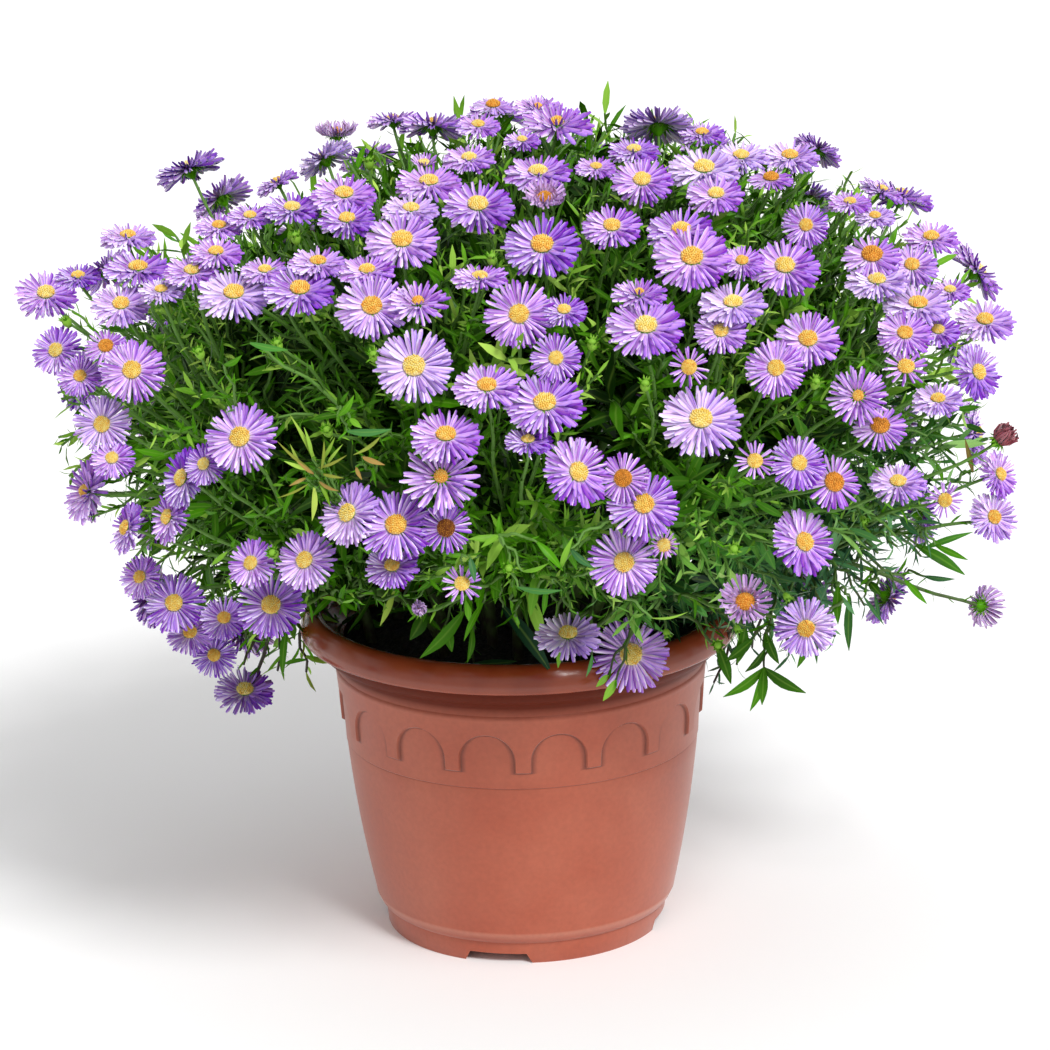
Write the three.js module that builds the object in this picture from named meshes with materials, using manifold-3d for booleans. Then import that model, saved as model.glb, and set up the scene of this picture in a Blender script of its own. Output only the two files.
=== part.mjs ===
// Potted cushion aster: a moulded plastic pot, its soil, and a cushion of leafy stems that fork
// under the surface and carry violet blooms. Millimetres, +Z up, origin on the pot's axis where
// the foot stands. The side that was photographed faces -Y.
import * as THREE from "three";
import { mergeVertices } from "three/addons/utils/BufferGeometryUtils.js";
import Module from "manifold-3d";

const wasm = await Module();
wasm.setup();

// Driving dimensions of the pot
const POT = {
  segments: 32,
  footRadius: 63.8,
  footHeight: 10.6,
  shoulderRadius: 68.6,
  shoulderHeight: 15,
  wallThickness: 2.2,
  floorUnderside: 5,
  floorTop: 8,
  // Radius of the outer wall: base + slope * height + bulge * height squared
  wallBase: 65.07,
  wallSlope: 0.2483,
  wallBulge: -0.000868,
  waistHeight: 54,
  reliefBottom: 97,
  reliefDepth: 1.1,
  beadHeight: 122,
  beadRadius: 84.4,
  coveHeight: 131,
  coveRadius: 87.6,
  coveTop: 139.5,
  coveTopRadius: 94,
  rimRadius: 100,
  rimHeight: 141.5,
  rimShoulder: 147.8,
  rimShoulderRadius: 98.4,
  rimTopRadius: 94,
  height: 152,
  mouthRadius: 90,
  mouthDepth: 145,
  insideHeights: [120, 24],
};

// The arcade in low relief, the notches in the foot and the drain holes
const ARCH = { count: 16, width: 24, springing: 103, sides: 3 };
const NOTCH = { count: 4, firstDeg: -102, halfAngleDeg: 14.5, height: 4.3, slant: 3 };
const DRAIN = { count: 4, radius: 5, circle: 38, depth: 10, sides: 6 };

// The soil, which fills the pot to a little under the rim
const SOIL = { segments: 16, level: 136, crown: 4, crownRadius: 50, clearance: 0.4, holeDepth: 14 };

// The place from which the blooms were read, in the pot's frame, and its picture scale
const VIEW = {
  eye: new THREE.Vector3(0, -2069, 817.8),
  pitchDeg: 16.95,
  yawDeg: 0.09,
  rollDeg: -1.26,
  focalPixels: 4780,
  centrePixel: 525,
};

// The cushion's surface: an oblate dome whose skirt hangs lower at the sides than in front
const DOME = {
  centre: new THREE.Vector3(4, 0, 262),
  radius: 218,
  rise: 114,
  power: 2.2,
  topShare: 0.985,
  skirtShare: 0.86,
  skirtFront: 100,
  skirtSideExtra: 55,
  skirtBackExtra: 30,
};

// The plant
const SPRAYS = 24;
const STEM = {
  radius: 2.1,
  sides: 4,
  steps: 3,
  clearance: 0.8,
  forkAt: 0.52,
  lowestFork: 188,
  widestFork: 125,
};
const ROOTS = { radius: 68, spacing: 13, rounds: 60 };
const FORK = { radius: 2.2, sides: 4, gap: 0.3, first: 4, between: 2.7 };
const BLOOM = {
  largeRays: 8,
  smallRays: 6,
  largeFrom: 12.5,
  shortRay: 0.93,
  rayRise: 1.2,
  rayDrop: 0.6,
  discShare: 0.58,
  discRise: 2.2,
  discEdgeRise: 0.6,
  depth: 4.2,
};
const STALK = {
  radius: 0.95,
  sides: 3,
  necks: [8, 14, 22],
  sways: [10, -10, 18, -18],
  swayAhead: 12,
  room: 0.2,
};
const HIDDEN = { count: 124, spacing: 41, radius: 14.5, spread: 1.5 };
const BUD = { radius: 3.4, top: 1.2, base: 1.3 };
const SHOOT = {
  crownTries: 120,
  skirtTries: 90,
  spacing: 46,
  fromBloom: 15,
  spreads: [26, 22, 18, 14, 10],
  leaves: 3,
  neckShare: 0.2,
  leastNeck: 0.9,
  whorls: [0.5, 0.67, 0.83],
  reach: 0.955,
  starts: 14,
  firstStart: 0.97,
  startStep: 0.04,
  rootShare: 0.06,
};
const SKIRT_LEAF = {
  perStem: 2,
  outwardFrom: 112,
  length: 40,
  width: 6.4,
  rootWidth: 1.9,
  waist: 0.5,
  thickness: 1.1,
  firstRoot: 0.44,
  rootStep: 0.4,
  tries: 6,
  firstTurn: 0.5,
  turnStep: 0.25,
};
const SAFE_GAP = 0.35;
const WELD = 1e-3;
const NUDGES = [
  [0, 0, 0], [0.03, 0.02, -0.05], [-0.04, 0.03, -0.08], [0.05, -0.06, -0.1], [-0.07, -0.05, -0.15],
];
// Shifts that a bloom may take from its surveyed place along the sight line
const SLIDES = [0, 5, -5, 10, -10, 15, -15, 21, -21, 28, -28, 36, -36, -44, -52];

// Colours of the photographed object
const COLOURS = { pot: "#b5634b", soil: "#15120f", green: "#4f9227", violet: "#a678dc" };

// Blooms as seen from the viewpoint: picture x, y, width and height in pixels. A negative height
// is a bloom that looks down, and a negative width one that leans the other way.
const SEEN_BLOOMS = [
  // Crown and far side
  [493, 105, 40, 18], [538, 108, 48, 20], [393, 120, 50, 20], [433, 125, 65, 24], [478, 125, 45, 20],
  [557, 124, 74, 34], [522, 140, 36, 16], [337, 134, 49, 20], [324, 158, 57, 24], [277, 182, 44, 20],
  [658, 125, 70, 36], [634, 150, 50, 20], [702, 133, 46, 18], [596, 167, 40, 18], [469, 158, 51, 24],
  [424, 164, 36, 18], [538, 172, 64, 30], [545, 198, 48, 34], [741, 156, 54, 26], [790, 156, 56, 26],
  [818, 150, 50, 20], [771, 178, 44, 20], [882, 190, 44, 22], [850, 202, 42, 18], [875, 216, 40, 20],
  [344, 194, 64, 34], [347, 219, 56, 30], [292, 208, 56, 26], [250, 216, 44, 20], [219, 226, 48, 22],
  [429, 182, 64, 30], [411, 209, 56, 24], [478, 205, 70, 46], [642, 180, 60, 44], [612, 226, 58, 40],
  [704, 168, 70, 40], [716, 194, 56, 34], [806, 225, 46, 44], [128, 236, 54, 18], [138, 268, 66, 26],
  // Upper middle
  [46, 293, 60, 42], [78, 276, 46, 20], [121, 304, 58, 40], [161, 290, 44, 20], [192, 271, 54, 28],
  [216, 252, 52, 26], [234, 293, 70, 45], [265, 270, 46, 22], [300, 289, 68, 43], [318, 262, 56, 24],
  [367, 270, 54, 28], [372, 306, 70, 62], [418, 302, 60, 40], [402, 240, 72, 54], [480, 277, 54, 20],
  [542, 245, 76, 59], [519, 314, 68, 66], [564, 310, 46, 30], [681, 230, 66, 40], [692, 257, 76, 60],
  [742, 261, 44, 30], [785, 266, 68, 52], [639, 294, 56, 24], [646, 326, 76, 55], [733, 303, 66, 36],
  [721, 331, 52, 44], [808, 339, 64, 54], [872, 255, 58, 42], [912, 265, 52, 40], [931, 237, 54, 28],
  [877, 280, 60, 34], [918, 304, 66, 34], [905, 333, 54, 44], [985, 320, 58, 36], [950, 290, 40, 20],
  // Left and middle
  [56, 350, 48, 50], [80, 376, 44, 40], [106, 346, 42, 36], [132, 370, 64, 61], [102, 424, 56, 56],
  [112, 458, 44, 40], [86, 491, 39, 66], [182, 478, 40, 60], [168, 517, 32, 54], [240, 437, 69, 70],
  [277, 379, 28, 28], [126, 528, 26, 52], [251, 563, 46, 50], [305, 560, 55, 60], [348, 513, 54, 64],
  [396, 525, 73, 68], [446, 528, 50, 50], [392, 566, 52, 40], [441, 477, 75, 70], [446, 435, 69, 46],
  [414, 366, 76, 72], [487, 386, 66, 42], [556, 358, 50, 48], [545, 403, 76, 58], [528, 440, 46, 24],
  [204, 464, 40, 44],
  // Right and middle
  [578, 472, 62, 70], [623, 478, 50, 50], [644, 504, 70, 66], [624, 562, 68, 68], [664, 545, 40, 40],
  [689, 367, 40, 40], [701, 419, 79, 66], [776, 368, 58, 56], [858, 396, 60, 57], [880, 426, 54, 44],
  [906, 367, 44, 36], [938, 399, 50, 28], [755, 461, 40, 38], [799, 463, 54, 55], [834, 482, 54, 56],
  [898, 482, 56, 34], [945, 500, 36, 36], [994, 517, 46, 50], [1000, 474, 34, 46], [978, 372, 44, 56],
  [804, 542, 58, 66], [982, 606, 38, 50], [938, 330, 44, 30],
  // Skirt
  [174, 603, 60, 58], [140, 577, 40, 44], [190, 632, 48, 44], [224, 618, 46, 40], [214, 655, 44, 44],
  [245, 690, 58, 38], [271, 605, 66, 63], [419, 611, 32, 30], [462, 584, 40, 36], [568, 634, 64, 38],
  [631, 654, 74, 74], [745, 602, 60, 56], [806, 628, 60, -58],
];

// Buds as seen from the viewpoint: picture x and y in pixels
const SEEN_BUDS = [
  [67, 322], [369, 164], [296, 239], [492, 260], [200, 354], [278, 346], [328, 432], [374, 357],
  [645, 386], [733, 550], [509, 569], [718, 645], [274, 554], [998, 441], [592, 345], [815, 384],
];

// Random numbers from a fixed seed
function makeRandom(seed) {
  let state = seed;
  return () => {
    state = (state + 0x6d2b79f5) | 0;
    let mixed = Math.imul(state ^ (state >>> 15), 1 | state);
    mixed = (mixed + Math.imul(mixed ^ (mixed >>> 7), 61 | mixed)) ^ mixed;
    return ((mixed ^ (mixed >>> 14)) >>> 0) / 4294967296;
  };
}

const random = makeRandom(20260611);
const between = (low, high) => low + (high - low) * random();
const rad = THREE.MathUtils.degToRad;
const UP = new THREE.Vector3(0, 0, 1);
const GOLDEN_ANGLE = Math.PI * (3 - Math.sqrt(5));

// Geometry and solids

// A closed geometry from its corner points and faces
function geometryOf(points, faces) {
  const geometry = new THREE.BufferGeometry();
  const coordinates = points.flatMap((p) => [p.x, p.y, p.z]);
  geometry.setAttribute("position", new THREE.Float32BufferAttribute(coordinates, 3));
  geometry.setIndex(faces.flat());
  return geometry;
}

// The solid of a closed geometry, with its shared corners merged and its slivers on the axis left out
function solidOf(geometry, weld = 1e-4) {
  const bare = geometry.clone();
  bare.deleteAttribute("normal");
  bare.deleteAttribute("uv");
  const merged = mergeVertices(bare, weld);
  const index = merged.index.array;
  const kept = [];
  for (let i = 0; i < index.length; i += 3) {
    const [a, b, c] = [index[i], index[i + 1], index[i + 2]];
    if (a !== b && b !== c && c !== a) kept.push(a, b, c);
  }
  const vertProperties = new Float32Array(merged.attributes.position.array);
  return new wasm.Manifold(new wasm.Mesh({ numProp: 3, vertProperties, triVerts: new Uint32Array(kept) }));
}

// The geometry of a solid
function geometryOfSolid(solid) {
  const mesh = solid.getMesh();
  const points = [];
  for (let i = 0; i < mesh.vertProperties.length; i += mesh.numProp) {
    points.push(new THREE.Vector3(...mesh.vertProperties.subarray(i, i + 3)));
  }
  const faces = [];
  for (let i = 0; i < mesh.triVerts.length; i += 3) {
    faces.push([mesh.triVerts[i], mesh.triVerts[i + 1], mesh.triVerts[i + 2]]);
  }
  return geometryOf(points, faces);
}

// A body of revolution about the Z axis, from [radius, height] pairs
function latheSolid(profile, segments) {
  const outline = profile.map(([radius, height]) => new THREE.Vector2(radius, height));
  const geometry = new THREE.LatheGeometry(outline, segments);
  geometry.rotateX(Math.PI / 2);
  return solidOf(geometry);
}

// An outline in the XZ plane, pushed along +Y from near to far and turned about Z
function radialPrism(shape, near, far, angle) {
  const geometry = new THREE.ExtrudeGeometry(shape, { depth: far - near, bevelEnabled: false });
  geometry.rotateX(Math.PI / 2);
  geometry.translate(0, -near, 0);
  geometry.rotateZ(angle + Math.PI / 2);
  return solidOf(geometry);
}

// A tube of few sides along a curve
function tubeSolid(curve, radius, sides, steps) {
  const section = new THREE.Shape();
  for (let i = 0; i < sides; i += 1) {
    const angle = (i / sides) * 2 * Math.PI;
    const corner = [radius * Math.cos(angle), radius * Math.sin(angle)];
    if (i === 0) section.moveTo(...corner);
    else section.lineTo(...corner);
  }
  section.closePath();
  return solidOf(new THREE.ExtrudeGeometry(section, { steps, extrudePath: curve, bevelEnabled: false }));
}

// Two directions square to an axis and to each other
function squareTo(axis) {
  const helper = Math.abs(axis.z) < 0.9 ? UP : new THREE.Vector3(1, 0, 0);
  const side = new THREE.Vector3().crossVectors(helper, axis).normalize();
  const over = new THREE.Vector3().crossVectors(axis, side).normalize();
  return [side, over];
}

// Everything that stands in the way of the next piece, each with the node that owns it
class Space {
  constructor() {
    this.taken = [];
  }

  // Whether a solid keeps clear of all that other nodes hold
  isFree(solid, owner) {
    const box = solid.boundingBox();
    return this.taken.every((other) => {
      if (other.owner === owner) return true;
      for (let axis = 0; axis < 3; axis += 1) {
        if (box.min[axis] > other.box.max[axis] + SAFE_GAP) return true;
        if (box.max[axis] < other.box.min[axis] - SAFE_GAP) return true;
      }
      return solid.intersect(other.solid).isEmpty();
    });
  }

  // Notes a solid as taken
  take(solid, owner) {
    this.taken.push({ solid, owner, box: solid.boundingBox() });
  }
}

// Pot

// Outer radius of the plain wall at a height
function wallRadius(height) {
  return POT.wallBase + POT.wallSlope * height + POT.wallBulge * height * height;
}

// Outer outline from the foot up over the rim, as [radius, height]
function potOutline() {
  const outline = [
    [POT.footRadius, 0],
    [POT.footRadius + 1, POT.footHeight],
    [POT.shoulderRadius, POT.shoulderHeight],
  ];
  outline.push([wallRadius(POT.waistHeight), POT.waistHeight]);
  outline.push([wallRadius(POT.reliefBottom), POT.reliefBottom]);
  outline.push([wallRadius(POT.reliefBottom) + POT.reliefDepth, POT.reliefBottom + 0.6]);
  outline.push([POT.beadRadius, POT.beadHeight], [POT.beadRadius - 0.8, POT.beadHeight + 2.6]);
  outline.push([POT.coveRadius, POT.coveHeight], [POT.coveTopRadius, POT.coveTop]);
  outline.push([POT.rimRadius - 0.7, POT.coveTop + 0.2], [POT.rimRadius, POT.rimHeight]);
  outline.push([POT.rimShoulderRadius, POT.rimShoulder], [POT.rimTopRadius, POT.height]);
  return outline;
}

// Inner outline from the mouth down to the floor, as [radius, height]
function potInside() {
  const inside = [[POT.mouthRadius + 0.6, POT.height - 0.8], [POT.mouthRadius - 2, POT.mouthDepth]];
  for (const height of POT.insideHeights) inside.push([wallRadius(height) - POT.wallThickness, height]);
  inside.push([wallRadius(POT.floorTop) - POT.wallThickness - 2, POT.floorTop]);
  return inside;
}

// Inner radius at a height, on the straight stretches between the points of the inner outline
function insideRadius(height) {
  const outline = potInside();
  const below = outline.findIndex(([, level]) => level <= height);
  const [[topRadius, top], [lowRadius, low]] = [outline[below - 1], outline[below]];
  return lowRadius + ((topRadius - lowRadius) * (height - low)) / (top - low);
}

// Arch opening: two legs and a round head
function archShape() {
  const half = ARCH.width / 2;
  const low = POT.reliefBottom - 3;
  const shape = new THREE.Shape();
  shape.moveTo(-half, low);
  shape.lineTo(half, low);
  for (let i = 0; i <= ARCH.sides; i += 1) {
    const angle = (i / ARCH.sides) * Math.PI;
    shape.lineTo(half * Math.cos(angle), ARCH.springing + half * Math.sin(angle));
  }
  shape.closePath();
  return shape;
}

// Notch through the foot ring, with slanted ends
function notchShape() {
  const half = POT.footRadius * Math.sin(rad(NOTCH.halfAngleDeg));
  const shape = new THREE.Shape();
  shape.moveTo(-half, -1);
  shape.lineTo(half, -1);
  shape.lineTo(half - NOTCH.slant, NOTCH.height);
  shape.lineTo(-half + NOTCH.slant, NOTCH.height);
  shape.closePath();
  return shape;
}

// The arches are cut down to the wall, which stays whole behind them
function makePot() {
  const footInside = POT.footRadius - POT.wallThickness;
  const underside = [[0, POT.floorUnderside], [footInside - 0.2, POT.floorUnderside], [footInside, 0]];
  const profile = [...underside, ...potOutline(), ...potInside(), [0, POT.floorTop]];
  let pot = latheSolid(profile, POT.segments);
  const wallBehind = [
    [0, POT.reliefBottom - 3],
    [wallRadius(POT.reliefBottom - 3), POT.reliefBottom - 3],
    [wallRadius(POT.beadHeight - 2), POT.beadHeight - 2],
    [0, POT.beadHeight - 2],
  ];
  const wall = latheSolid(wallBehind, POT.segments);
  let arches = null;
  for (let i = 0; i < ARCH.count; i += 1) {
    const angle = -Math.PI / 2 + ((i + 0.5) / ARCH.count) * 2 * Math.PI;
    const arch = radialPrism(archShape(), 70, 95, angle);
    arches = arches ? arches.add(arch) : arch;
  }
  pot = pot.subtract(arches.subtract(wall));
  for (let i = 0; i < NOTCH.count; i += 1) {
    const angle = rad(NOTCH.firstDeg) + (i / NOTCH.count) * 2 * Math.PI;
    pot = pot.subtract(radialPrism(notchShape(), 50, 75, angle));
  }
  for (let i = 0; i < DRAIN.count; i += 1) {
    const hole = new THREE.CylinderGeometry(DRAIN.radius, DRAIN.radius, DRAIN.depth, DRAIN.sides);
    hole.rotateX(Math.PI / 2);
    const angle = (i / DRAIN.count) * 2 * Math.PI;
    hole.translate(DRAIN.circle * Math.cos(angle), DRAIN.circle * Math.sin(angle), POT.floorUnderside);
    pot = pot.subtract(solidOf(hole));
  }
  return pot;
}

// Soil: a filling with a gently mounded top, and a plain hole round each stem
function makeSoil(stemCurves) {
  const level = SOIL.level;
  const room = (height) => insideRadius(height) * Math.cos(Math.PI / POT.segments) - SOIL.clearance;
  const floor = POT.floorTop + SOIL.clearance;
  const profile = [[0, floor], [room(floor), floor]];
  for (const height of [...POT.insideHeights].reverse()) profile.push([room(height), height]);
  profile.push([room(level), level], [SOIL.crownRadius, level + SOIL.crown], [0, level + SOIL.crown]);
  let soil = latheSolid(profile, SOIL.segments);
  for (const curve of stemCurves) {
    const deeper = curve.clone();
    deeper.v0.z -= 1;
    soil = soil.subtract(tubeSolid(deeper, STEM.radius + STEM.clearance, STEM.sides, STEM.steps));
  }
  return soil;
}

// Viewpoint

class Viewpoint {
  constructor() {
    const [pitch, yaw, roll] = [rad(VIEW.pitchDeg), rad(VIEW.yawDeg), rad(VIEW.rollDeg)];
    this.forward = new THREE.Vector3(
      Math.sin(yaw) * Math.cos(pitch), Math.cos(yaw) * Math.cos(pitch), -Math.sin(pitch));
    const level = new THREE.Vector3(Math.cos(yaw), -Math.sin(yaw), 0);
    const above = new THREE.Vector3().crossVectors(level, this.forward);
    this.right = level.clone().multiplyScalar(Math.cos(roll)).addScaledVector(above, Math.sin(roll));
    this.up = above.clone().multiplyScalar(Math.cos(roll)).addScaledVector(level, -Math.sin(roll));
  }

  // Direction of the sight line through a picture point
  sightLine(x, y) {
    const direction = this.forward.clone();
    direction.addScaledVector(this.right, (x - VIEW.centrePixel) / VIEW.focalPixels);
    direction.addScaledVector(this.up, (VIEW.centrePixel - y) / VIEW.focalPixels);
    return direction.normalize();
  }

  // Size in millimetres of a picture length at a point
  toMillimetres(pixels, point) {
    const depth = point.clone().sub(VIEW.eye).dot(this.forward);
    return (pixels * depth) / VIEW.focalPixels;
  }

  // The way a bloom faces, from the width and height of its picture
  facing(width, height, x) {
    const full = Math.max(Math.abs(width), Math.abs(height));
    const lean = Math.sqrt(Math.max(0, 1 - (width / full) ** 2));
    const lift = Math.sqrt(Math.max(0, 1 - (height / full) ** 2));
    const outward = Math.sign(x - VIEW.centrePixel) * Math.sign(width);
    const across = lean * outward;
    const upward = lift * Math.sign(height) + (Math.abs(width) < Math.abs(height) ? 0.25 : 0);
    const towards = Math.sqrt(Math.max(0.03, 1 - across * across - upward * upward));
    const normal = this.right.clone().multiplyScalar(across);
    normal.addScaledVector(this.up, upward).addScaledVector(this.forward, -towards);
    return normal.normalize();
  }
}

// Cushion surface

// How far the skirt hangs below the widest ring, by the angle from the front
function skirtDepth(x, y) {
  const fromFront = Math.atan2(x, -y);
  const side = Math.sin(fromFront) ** 2;
  return DOME.skirtFront + DOME.skirtSideExtra * side + (DOME.skirtBackExtra * (1 - Math.cos(fromFront))) / 2;
}

// Zero on the cushion, less inside it and more outside it
function outsideDome(point) {
  const [x, y, z] = point.clone().sub(DOME.centre).toArray();
  const depth = z > 0 ? DOME.rise : skirtDepth(x, y);
  const flat = Math.hypot(x, y) / DOME.radius;
  return flat ** DOME.power + (Math.abs(z) / depth) ** DOME.power - 1;
}

// Outward direction of the cushion at a point
function domeNormal(point) {
  const step = 1;
  const slope = ["x", "y", "z"].map((axis) => {
    const ahead = point.clone();
    ahead[axis] += step;
    const behind = point.clone();
    behind[axis] -= step;
    return outsideDome(ahead) - outsideDome(behind);
  });
  return new THREE.Vector3(...slope).normalize();
}

// Where a sight line first meets the cushion, or where it passes nearest to it
function meetDome(direction) {
  const near = 1700;
  const far = 2500;
  const step = 2;
  let best = null;
  let least = Infinity;
  for (let distance = near; distance < far; distance += step) {
    const point = VIEW.eye.clone().addScaledVector(direction, distance);
    const outside = outsideDome(point);
    if (outside < least) {
      least = outside;
      best = point;
    }
    if (outside <= 0) break;
  }
  return best;
}

// The point of the cushion that lies in a direction from its centre
function domePoint(azimuth, height) {
  const depth = height > 0 ? DOME.rise : skirtDepth(Math.cos(azimuth), Math.sin(azimuth));
  const share = Math.min(1, Math.abs(height) / depth);
  const reach = DOME.radius * (1 - share ** DOME.power) ** (1 / DOME.power);
  const offset = new THREE.Vector3(reach * Math.cos(azimuth), reach * Math.sin(azimuth), height);
  return DOME.centre.clone().add(offset);
}

// Golden-angle points from one height down to the skirt's edge, evenly by height
function domePoints(count, top) {
  const points = [];
  for (let i = 0; i < count; i += 1) {
    const share = (i + 0.5) / count;
    const azimuth = i * GOLDEN_ANGLE;
    const low = skirtDepth(Math.cos(azimuth), Math.sin(azimuth)) * DOME.skirtShare;
    points.push(domePoint(azimuth, top - share * (top + low)));
  }
  return points;
}

// Golden-angle points over the crown, evenly by area
function crownPoints(count) {
  const points = [];
  for (let i = 0; i < count; i += 1) {
    const flat = Math.sqrt((i + 0.5) / count);
    const height = DOME.rise * (1 - flat ** DOME.power) ** (1 / DOME.power);
    points.push(domePoint(i * GOLDEN_ANGLE, height));
  }
  return points;
}

// Blooms

class Bloom {
  constructor(centre, normal, radius) {
    this.centre = centre;
    this.normal = normal;
    this.radius = radius;
    this.rays = BLOOM.smallRays;
    this.turn = between(0, Math.PI);
  }

  // Closed geometry of the head and of its stalk, which runs through the given points
  geometry(centre, stalk) {
    const [side, over] = squareTo(this.normal);
    const place = (angle, radius, rise) => centre.clone()
      .addScaledVector(side, radius * Math.cos(angle))
      .addScaledVector(over, radius * Math.sin(angle))
      .addScaledVector(this.normal, rise);
    const points = [place(0, 0, BLOOM.discRise)];
    const faces = [];
    const step = (2 * Math.PI) / this.rays;
    const disc = this.radius * BLOOM.discShare;
    for (let i = 0; i < this.rays; i += 1) {
      const upper = i % 2 === 0;
      const reach = this.radius * (upper ? 1 : BLOOM.shortRay);
      points.push(place(this.turn + i * step, disc, BLOOM.discEdgeRise));
      points.push(place(this.turn + (i + 0.5) * step, reach, upper ? BLOOM.rayRise : -BLOOM.rayDrop));
    }
    for (let i = 0; i < this.rays; i += 1) {
      const notch = 1 + 2 * i;
      const next = 1 + 2 * ((i + 1) % this.rays);
      faces.push([0, notch, next], [notch, notch + 1, next]);
    }
    const rim = points.length - 1;
    const sides = STALK.sides;
    const rings = [];
    for (const [index, joint] of stalk.entries()) {
      rings.push(points.length);
      const last = index === stalk.length - 1;
      const ahead = last ? joint.clone().sub(stalk[index - 1]) : stalk[index + 1].clone().sub(joint);
      const along = index === 0 ? this.normal.clone().negate() : ahead.normalize();
      let first = side.clone().addScaledVector(along, -side.dot(along));
      if (first.lengthSq() < 1e-3) first = over.clone().addScaledVector(along, -over.dot(along));
      first.normalize();
      const second = new THREE.Vector3().crossVectors(first, along).normalize();
      for (let i = 0; i < sides; i += 1) {
        const angle = this.turn + (i / sides) * 2 * Math.PI;
        points.push(joint.clone()
          .addScaledVector(first, STALK.radius * Math.cos(angle))
          .addScaledVector(second, STALK.radius * Math.sin(angle)));
      }
    }
    faces.push(...this.underside(rim, rings[0], sides));
    for (let k = 0; k + 1 < rings.length; k += 1) {
      for (let i = 0; i < sides; i += 1) {
        const [a, b] = [rings[k] + i, rings[k] + ((i + 1) % sides)];
        const [c, d] = [rings[k + 1] + i, rings[k + 1] + ((i + 1) % sides)];
        faces.push([a, c, b], [b, c, d]);
      }
    }
    const end = rings[rings.length - 1];
    faces.push([end, end + 2, end + 1]);
    return geometryOf(points, faces);
  }

  // Faces between the outline of the rays and the first ring of the stalk
  underside(rimCount, ring, sides) {
    const faces = [];
    let at = 0;
    for (let i = 0; i < rimCount; i += 1) {
      const here = 1 + i;
      const next = 1 + ((i + 1) % rimCount);
      faces.push([next, here, ring + (at % sides)]);
      const due = Math.floor(((i + 1) * sides) / rimCount);
      if (due > at) {
        faces.push([next, ring + (at % sides), ring + ((at + 1) % sides)]);
        at += 1;
      }
    }
    return faces;
  }
}

// A bud: a small pointed body on a stalk
function budSolid(centre, normal, root) {
  const [side, over] = squareTo(normal);
  const corner = (angle) => centre.clone()
    .addScaledVector(side, BUD.radius * Math.cos(angle))
    .addScaledVector(over, BUD.radius * Math.sin(angle));
  const points = [centre.clone().addScaledVector(normal, BUD.radius * BUD.top)];
  for (let i = 0; i < 4; i += 1) points.push(corner((i / 4) * 2 * Math.PI));
  points.push(centre.clone().addScaledVector(normal, -BUD.radius * BUD.base));
  const faces = [];
  for (let i = 0; i < 4; i += 1) {
    const [a, b] = [1 + i, 1 + ((i + 1) % 4)];
    faces.push([0, a, b], [5, b, a]);
  }
  const body = solidOf(geometryOf(points, faces));
  return body.add(taperSolid(root, centre, STALK.radius));
}

// A three-sided stalk that ends in a point
function taperSolid(from, to, radius) {
  const along = to.clone().sub(from).normalize();
  const [side, over] = squareTo(along);
  const points = [0, 1, 2].map((i) => from.clone()
    .addScaledVector(side, radius * Math.cos((i / 3) * 2 * Math.PI))
    .addScaledVector(over, radius * Math.sin((i / 3) * 2 * Math.PI)));
  points.push(to.clone());
  return solidOf(geometryOf(points, [[0, 2, 1], [0, 1, 3], [1, 2, 3], [2, 0, 3]]));
}

// The seen blooms, each where its sight line meets the cushion
function seenBlooms(view) {
  return SEEN_BLOOMS.map(([x, y, width, height]) => {
    const direction = view.sightLine(x, y);
    const centre = meetDome(direction);
    const radius = view.toMillimetres(Math.max(Math.abs(width), Math.abs(height)) / 2, centre);
    const bloom = new Bloom(centre, view.facing(width, height, x), radius);
    if (radius > BLOOM.largeFrom) bloom.rays = BLOOM.largeRays;
    bloom.slide = direction;
    return bloom;
  });
}

// The blooms of the far side, spread evenly and clear of the seen ones
function hiddenBlooms(view, seen) {
  const blooms = [];
  for (const point of domePoints(HIDDEN.count, DOME.rise * DOME.topShare)) {
    const normal = domeNormal(point);
    const turned = normal.dot(view.forward) > 0.1;
    const apart = [...seen, ...blooms].every((b) => b.centre.distanceTo(point) > HIDDEN.spacing);
    if (!turned || !apart) continue;
    const tilt = new THREE.Vector3(between(-0.3, 0.3), between(-0.3, 0.3), between(0.2, 0.8));
    const radius = HIDDEN.radius + between(-HIDDEN.spread, HIDDEN.spread);
    const centre = point.clone().addScaledVector(normal, between(-6, 4));
    const bloom = new Bloom(centre, normal.clone().add(tilt).normalize(), radius);
    bloom.slide = normal;
    blooms.push(bloom);
  }
  return blooms;
}

// Sprays

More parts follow.
